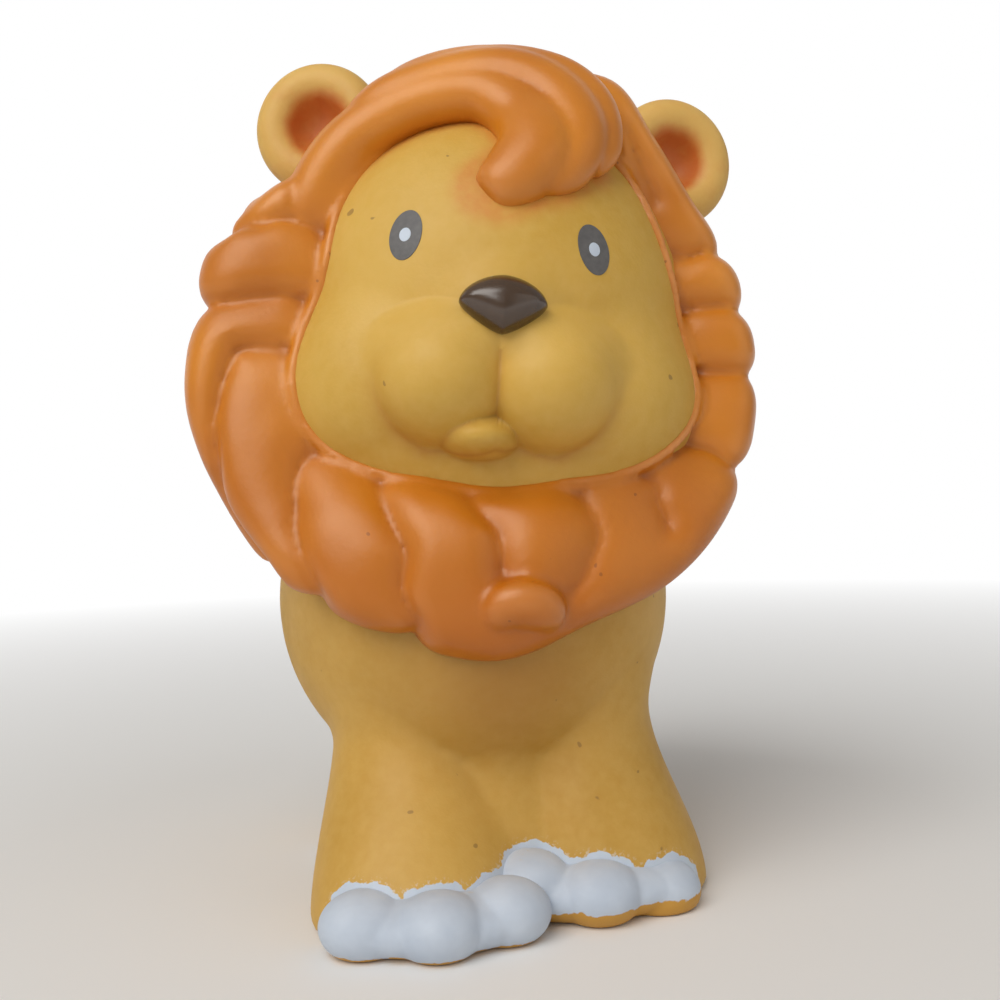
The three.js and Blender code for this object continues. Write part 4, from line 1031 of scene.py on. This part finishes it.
def white_paint():
    """Matte white paint, worn thin in places, that stops in a ragged line above the sole."""
    nodes = Nodes("white_paint")
    clouds = nodes.spread(nodes.noise(250.0), 0.35, 0.7)
    colour = nodes.blend(clouds, linear(198, 208, 221), linear(184, 195, 210))
    thin = nodes.spread(nodes.noise(650.0, 4.0), 0.70, 0.78)
    colour = nodes.blend(nodes.sum(thin, 0.5, "MULTIPLY"), colour, linear(205, 186, 150))
    edge = nodes.sum(nodes.value("bare"), nodes.spread(nodes.noise(700.0, 3.0), 0.3, 0.7, -0.3, 0.3))
    colour = nodes.blend(nodes.spread(edge, 0.5, 0.58), colour, linear(196, 146, 62))
    nodes.link(colour, "Base Color")
    nodes.bump(nodes.noise(1800.0, 4.0), 0.15, 0.0002)
    nodes.link(nodes.spread(nodes.noise(300.0), 0.3, 0.7, 0.5, 0.62), "Roughness")
    return nodes.set(Specular_IOR_Level=0.4)


def plug_plastic():
    """Plain pale plastic."""
    nodes = Nodes("plug_plastic")
    nodes.link(nodes.blend(nodes.noise(300.0), linear(232, 228, 218), linear(222, 216, 204)), "Base Color")
    nodes.bump(nodes.noise(1500.0), 0.05, 0.0002)
    return nodes.set(Roughness=0.5)


# The pieces
YELLOW, FACE_YELLOW, BODY_YELLOW, ORANGE = yellow_vinyl(), face_vinyl(), body_vinyl(), orange_vinyl()
EAR_YELLOW, BROWN, GREY, WHITE, PLUG = ear_vinyl(), nose_paint(), eye_print(), white_paint(), plug_plastic()


def place(name, shell, to_row, material, body, slot, nodes, values=None):
    """One finished piece: a shell in millimetres, placed, riding a body and standing for its CAD nodes."""
    vertices, faces = shell
    piece = mesh_object(name, to_row(vertices), outward(vertices, faces), material, values)
    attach(piece, body)
    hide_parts(*nodes)
    return piece


def ellipsoid_gap(points, centre, radii):
    """Roughly how far points are from an ellipsoid: k0 (k0 - 1) / k1, k0 = |p / r| and k1 = |p / r^2|."""
    p = points - centre
    k0 = np.linalg.norm(p / radii, axis=-1)
    k1 = np.linalg.norm(p / radii ** 2, axis=-1)
    return k0 * (k0 - 1) / np.maximum(k1, TINY)


LOCK_BALLS, LOCK_ENDS, RING_BALLS = 10, (0.04, 0.96), 220
DRIFT_WIDTH, DRIFT_STRENGTH = 1.6, 0.55


def mane_gap(points):
    """How far face points are from the ring and the locks, each taken as a row of balls along its curve."""
    ring = np.asarray(ROLL, float)
    t = np.arange(RING_BALLS) / RING_BALLS
    balls = [(catmull_rom_loop(mane_point(ring), t), catmull_rom_loop(ring[:, 3:], t).mean(1))]
    for rows in [*LOCKS.values(), *FORELOCK.values()]:
        table = np.asarray(rows, float)
        t = np.linspace(*LOCK_ENDS, LOCK_BALLS * len(rows))
        balls.append((catmull_rom(mane_point(table), t), catmull_rom(table[:, 3:], t)[:, 0]))
    nearest = np.full(len(points), FAR)
    for centres, halves in balls:
        for centre, half in zip(centres, halves):
            nearest = np.minimum(nearest, np.linalg.norm(points - centre, axis=-1) - half * LOCK_HALF_WIDTH)
    return nearest


def surface_bend(points, quads, rounds=4):
    """How sharply a surface of even quads bulges (above nought) or hollows (below) at each point, in 1/mm:
    the point less the mean of its neighbours, along the normal, over the grain squared, then evened out for
    some rounds."""
    quads = np.asarray(quads)
    starts = quads.ravel()
    stops = np.roll(quads, -1, 1).ravel()
    degree = np.bincount(starts, minlength=len(points))[:, None]

    def gathered(values, places):
        return np.stack([np.bincount(places, column, len(points)) for column in values.T], -1)

    def neighbours_mean(values):
        return gathered(values[stops], starts) / np.maximum(degree, 1)

    across = np.cross(points[quads[:, 2]] - points[quads[:, 0]], points[quads[:, 3]] - points[quads[:, 1]])
    normals = unit(gathered(np.repeat(across, 4, 0), starts))
    grain = np.linalg.norm(points[starts] - points[stops], axis=1).mean()
    bulge = ((points - neighbours_mean(points)) * normals).sum(-1, keepdims=True) / grain ** 2
    for _ in range(rounds):
        bulge = neighbours_mean(bulge)
    return bulge[:, 0]


MANE_GRAIN, BODY_GRAIN, TOE_GRAIN = ((0.55, 3), (0.355, 5)), ((0.7, 6), (0.42, 6)), ((0.3, 14), (0.18, 14))
PAINT_REACH, PAINT_ABOVE = 1.0, 0.9
# The chest's browner tone, painted shade under the mane with its orange drifted on: its strength, its middle's
# rise, its width and height, and where it starts in front
SHADE_AND_DRIFT, SHADE_AND_DRIFT_RISE, SHADE_AND_DRIFT_WIDTH, SHADE_AND_DRIFT_HEIGHT, SHADE_AND_DRIFT_IN_FRONT = 0.6, 20, 9, 7, (4, 12)


def build_head():
    """The face, the mane with its locks, the ears, the printed eyes and the nose."""
    face = face_shell()
    drift = DRIFT_STRENGTH * np.clip(1 - mane_gap(face[0]) / DRIFT_WIDTH, 0, 1) ** 2
    # the face's attributes: the mane's drifted paint, and painted shade in the hollows
    place("face", face, head_to_row, FACE_YELLOW, "head_assembly", "yellow_vinyl", ["head"],
          {"drift": drift, "hollow_shade": face_shade(face[0])})
    shells = [hood_shell(), roll_shell(), edge_lip_shell(), skirt_shell()]
    shells += [lock_shell(LOCKS[name]) for name in ("bead", "crown_back", "small_lock")]
    shells += [lock_shell(rows, FORELOCK_BLUNT) for rows in FORELOCK.values()]
    points, faces = moulded(shells, *MANE_GRAIN[1])
    points = clear_of_shoulder(points)
    place("mane_locks", (points, faces), head_to_row, ORANGE, "head_assembly", "orange_vinyl", ["mane"],
          {"bend": surface_bend(points, faces)})
    for side, sign in (("left", 1), ("right", -1)):
        ear = ear_shell(sign)
        from_middle = ear[0] - EAR_CENTRES[sign]
        wash = smooth_rise(-np.linalg.norm(from_middle[:, [0, 2]], axis=1), *WASH_FADES)
        place(f"{side}_ear_cup", ear, head_to_row, EAR_YELLOW, "head_assembly", "yellow_vinyl",
              [f"{side}_ear"], {"wash": wash * (from_middle[:, 1] < WASH_BACK)})
        place(f"{side}_eye_print", face_patch(side, **EYE_SIZES), head_to_row, GREY, "head_assembly",
              "eye_print", [f"{side}_eye"])
        place(f"{side}_glint_print", face_patch(side, **GLINT_SIZES), head_to_row, WHITE, "head_assembly",
              "white_paint", [f"{side}_eye_glint"])
    place("nose_tip", nose_shell(), head_to_row, BROWN, "head_assembly", "nose_paint", ["nose"])


def build_body():
    """The body with its legs, the painted toes, the tail and its tuft."""
    points, faces = moulded(body_shells(), *BODY_GRAIN[1])
    points[:, 2] = np.maximum(points[:, 2], 0)
    toes = np.concatenate([toe_places(leg) for leg in FRONT_LEGS + HIND_LEGS])
    gap = np.min([ellipsoid_gap(points, toe, TOE_HALF) for toe in toes], 0)
    paint = np.clip(1 - gap / PAINT_REACH, 0, 1) * (points[:, 2] > PAINT_ABOVE)
    # the chest's browner tone: painted shade under the mane, with its orange drifted on
    shade_and_drift = SHADE_AND_DRIFT * smooth_rise(-points[:, 1], *SHADE_AND_DRIFT_IN_FRONT) * np.exp(
        -(points[:, 0] / SHADE_AND_DRIFT_WIDTH) ** 2 - ((points[:, 2] - SHADE_AND_DRIFT_RISE) / SHADE_AND_DRIFT_HEIGHT) ** 2)
    place("body_moulding", (points, faces), figure_to_row, BODY_YELLOW, "torso", "yellow_vinyl", ["body"],
          {"paint": paint, "shade_and_drift": shade_and_drift})
    for pair, legs in (("front", FRONT_LEGS), ("hind", HIND_LEGS)):
        for side, leg in zip(("right", "left"), legs):
            name = f"{pair}_{side}_toes"
            toes = moulded(toe_shells(leg), *TOE_GRAIN[1])
            bare = 1 - smooth_rise(toes[0][:, 2], *BARE_SOLE[side])
            place(f"{name}_paint", toes, figure_to_row, WHITE, "torso", "white_paint", [name], {"bare": bare})
    path = on_haunch(TAIL_ROWS, TAIL_RADIUS)
    tail = swept_shell(np.concatenate([path[:1] + TAIL_ROOT, path]), TAIL_RADIUS, TAIL_RADIUS, TAIL_BLUNT)
    place("tail_cord", tail, figure_to_row, YELLOW, "torso", "yellow_vinyl", ["tail"])
    tuft = swept_shell(on_haunch(TUFT_ROWS, TUFT_HALF_WIDTH), TUFT_HALF_WIDTH, TUFT_HALF_WIDTH * TUFT_TIP,
                       TUFT_BLUNT, columns=96, grooves=TUFT_LOCKS)
    place("tail_tuft_locks", tuft, figure_to_row, ORANGE, "torso", "orange_vinyl", ["tail_tuft"])


build_head()
build_body()
plug = frame["nodes"]["neck_plug"]
plug.data.materials.clear()
plug.data.materials.append(PLUG)


# Floor, light and camera, in metres
SHEET_FRONT, SHEET_FLAT, SHEET_BEND, SHEET_TOP, SHEET_HALF_WIDTH = -1.6, 0.9, 0.6, 2.4, 2.5
# Where the floor round the toy gives way to plain white
WHITE_FROM, WHITE_TO = 0.05, 0.34
AIM_RISE = 0.04
# place, power, size and colour
LAMPS = {
    "key_lamp": ((-0.34, -0.40, 0.5), 3.5, 0.55, (1.0, 0.98, 0.95)),
    "fill_lamp": ((0.5, -0.5, 0.25), 0.5, 0.6, (1.0, 0.97, 0.93)),
}
WORLD_COLOUR, WORLD_STRENGTH = (1.0, 0.99, 0.97, 1.0), 0.33
# The camera in millimetres from the figure's middle on the floor, and its angles and lens
CAMERA_TURN, CAMERA_ROLL = math.radians(-9), math.radians(2)
CAMERA_RISE, CAMERA_AWAY, CAMERA_ASIDE = 35, 104, 2.4
SENSOR, LENS = 36.0, 39.6


def backdrop():
    """A pale sheet: the floor, a quarter round behind and a wall, carried straight across."""
    turn = np.linspace(0, math.pi / 2, 24)
    along = np.concatenate([[SHEET_FRONT], SHEET_FLAT + SHEET_BEND * np.sin(turn), [SHEET_FLAT + SHEET_BEND]])
    up = np.concatenate([[0], SHEET_BEND - SHEET_BEND * np.cos(turn), [SHEET_TOP]])
    across = np.array([-SHEET_HALF_WIDTH, SHEET_HALF_WIDTH])
    points = np.stack(np.broadcast_arrays(across[None, :], along[:, None], up[:, None]), -1)
    rows = len(along)
    faces = [[2 * k, 2 * k + 1, 2 * k + 3, 2 * k + 2] for k in range(rows - 1)]
    nodes = Nodes("studio_sheet")
    tone = nodes.blend(nodes.noise(3.0), linear(240, 239, 237), linear(236, 235, 233))
    nodes.link(tone, "Base Color")
    nodes.set(Roughness=0.8)
    whitened(nodes, far_from_toy(nodes))
    sheet = mesh_object("studio_sheet", points.reshape(-1, 3), faces, nodes.material)


def seen(nodes):
    """One for rays of the camera, and for rays that gloss or a clear surface sends on."""
    path = nodes.tree.nodes.new("ShaderNodeLightPath")
    some = nodes.sum(path.outputs["Is Camera Ray"], path.outputs["Is Glossy Ray"], "MAXIMUM")
    return nodes.sum(some, path.outputs["Is Transmission Ray"], "MAXIMUM")


def far_from_toy(nodes):
    """Nought on the floor round the toy, where its shadow lies, rising to one well away from it."""
    distance = nodes.tree.nodes.new("ShaderNodeVectorMath")
    distance.operation = "LENGTH"
    nodes.tree.links.new(nodes.object_place, distance.inputs[0])
    rise = nodes.spread(distance.outputs["Value"], WHITE_FROM, WHITE_TO)
    return nodes.sum(rise, seen(nodes), "MULTIPLY")


def whitened(nodes, share):
    """The sheet's shader gives way to plain white by the share."""
    white = nodes.tree.nodes.new("ShaderNodeEmission")
    mix = nodes.tree.nodes.new("ShaderNodeMixShader")
    nodes.tree.links.new(share, mix.inputs[0])
    nodes.tree.links.new(nodes.shader.outputs[0], mix.inputs[1])
    nodes.tree.links.new(white.outputs[0], mix.inputs[2])
    nodes.tree.links.new(mix.outputs[0], nodes.tree.nodes["Material Output"].inputs["Surface"])


def lamp(name, place_at, power, size, colour):
    """A square lamp aimed at the toy's middle."""
    data = bpy.data.lights.new(name, "AREA")
    data.energy, data.size, data.color = power, size, colour
    light = bpy.data.objects.new(name, data)
    light.location = place_at
    light.rotation_euler = (Vector((0, 0, AIM_RISE)) - Vector(place_at)).to_track_quat("-Z", "Y").to_euler()
    bpy.context.scene.collection.objects.link(light)


def studio():
    """The sheet, the two lamps and a soft light all round."""
    backdrop()
    for name, settings in LAMPS.items():
        lamp(name, *settings)
    world = bpy.data.worlds.new("studio_world")
    world.use_nodes = True
    background = world.node_tree.nodes["Background"]
    background.inputs["Color"].default_value = WORLD_COLOUR
    background.inputs["Strength"].default_value = WORLD_STRENGTH
    bpy.context.scene.world = world


def photo_camera():
    """The camera at the photograph's angle: level, a little to the lion's right, and rolled."""
    turn, roll = CAMERA_TURN, CAMERA_ROLL
    forward = Vector((-math.sin(turn), math.cos(turn), 0))
    right, up = Vector((math.cos(turn), math.sin(turn), 0)), Vector((0, 0, 1))
    place_at = Vector(SHIFT.tolist()) + up * CAMERA_RISE - forward * CAMERA_AWAY + right * CAMERA_ASIDE
    data = bpy.data.cameras.new("photo_camera")
    data.sensor_width, data.lens = SENSOR, LENS
    data.clip_start, data.clip_end = 0.005, 20
    camera = bpy.data.objects.new("photo_camera", data)
    bpy.context.scene.collection.objects.link(camera)
    x_axis = right * math.cos(roll) - up * math.sin(roll)
    y_axis = up * math.cos(roll) + right * math.sin(roll)
    turned = Matrix((x_axis, y_axis, -forward)).transposed().to_4x4()
    camera.matrix_world = Matrix.Translation(place_at * MM) @ turned
    bpy.context.scene.camera = camera


studio()
photo_camera()
bpy.context.scene.view_settings.view_transform = "Standard"
bpy.context.view_layer.update()
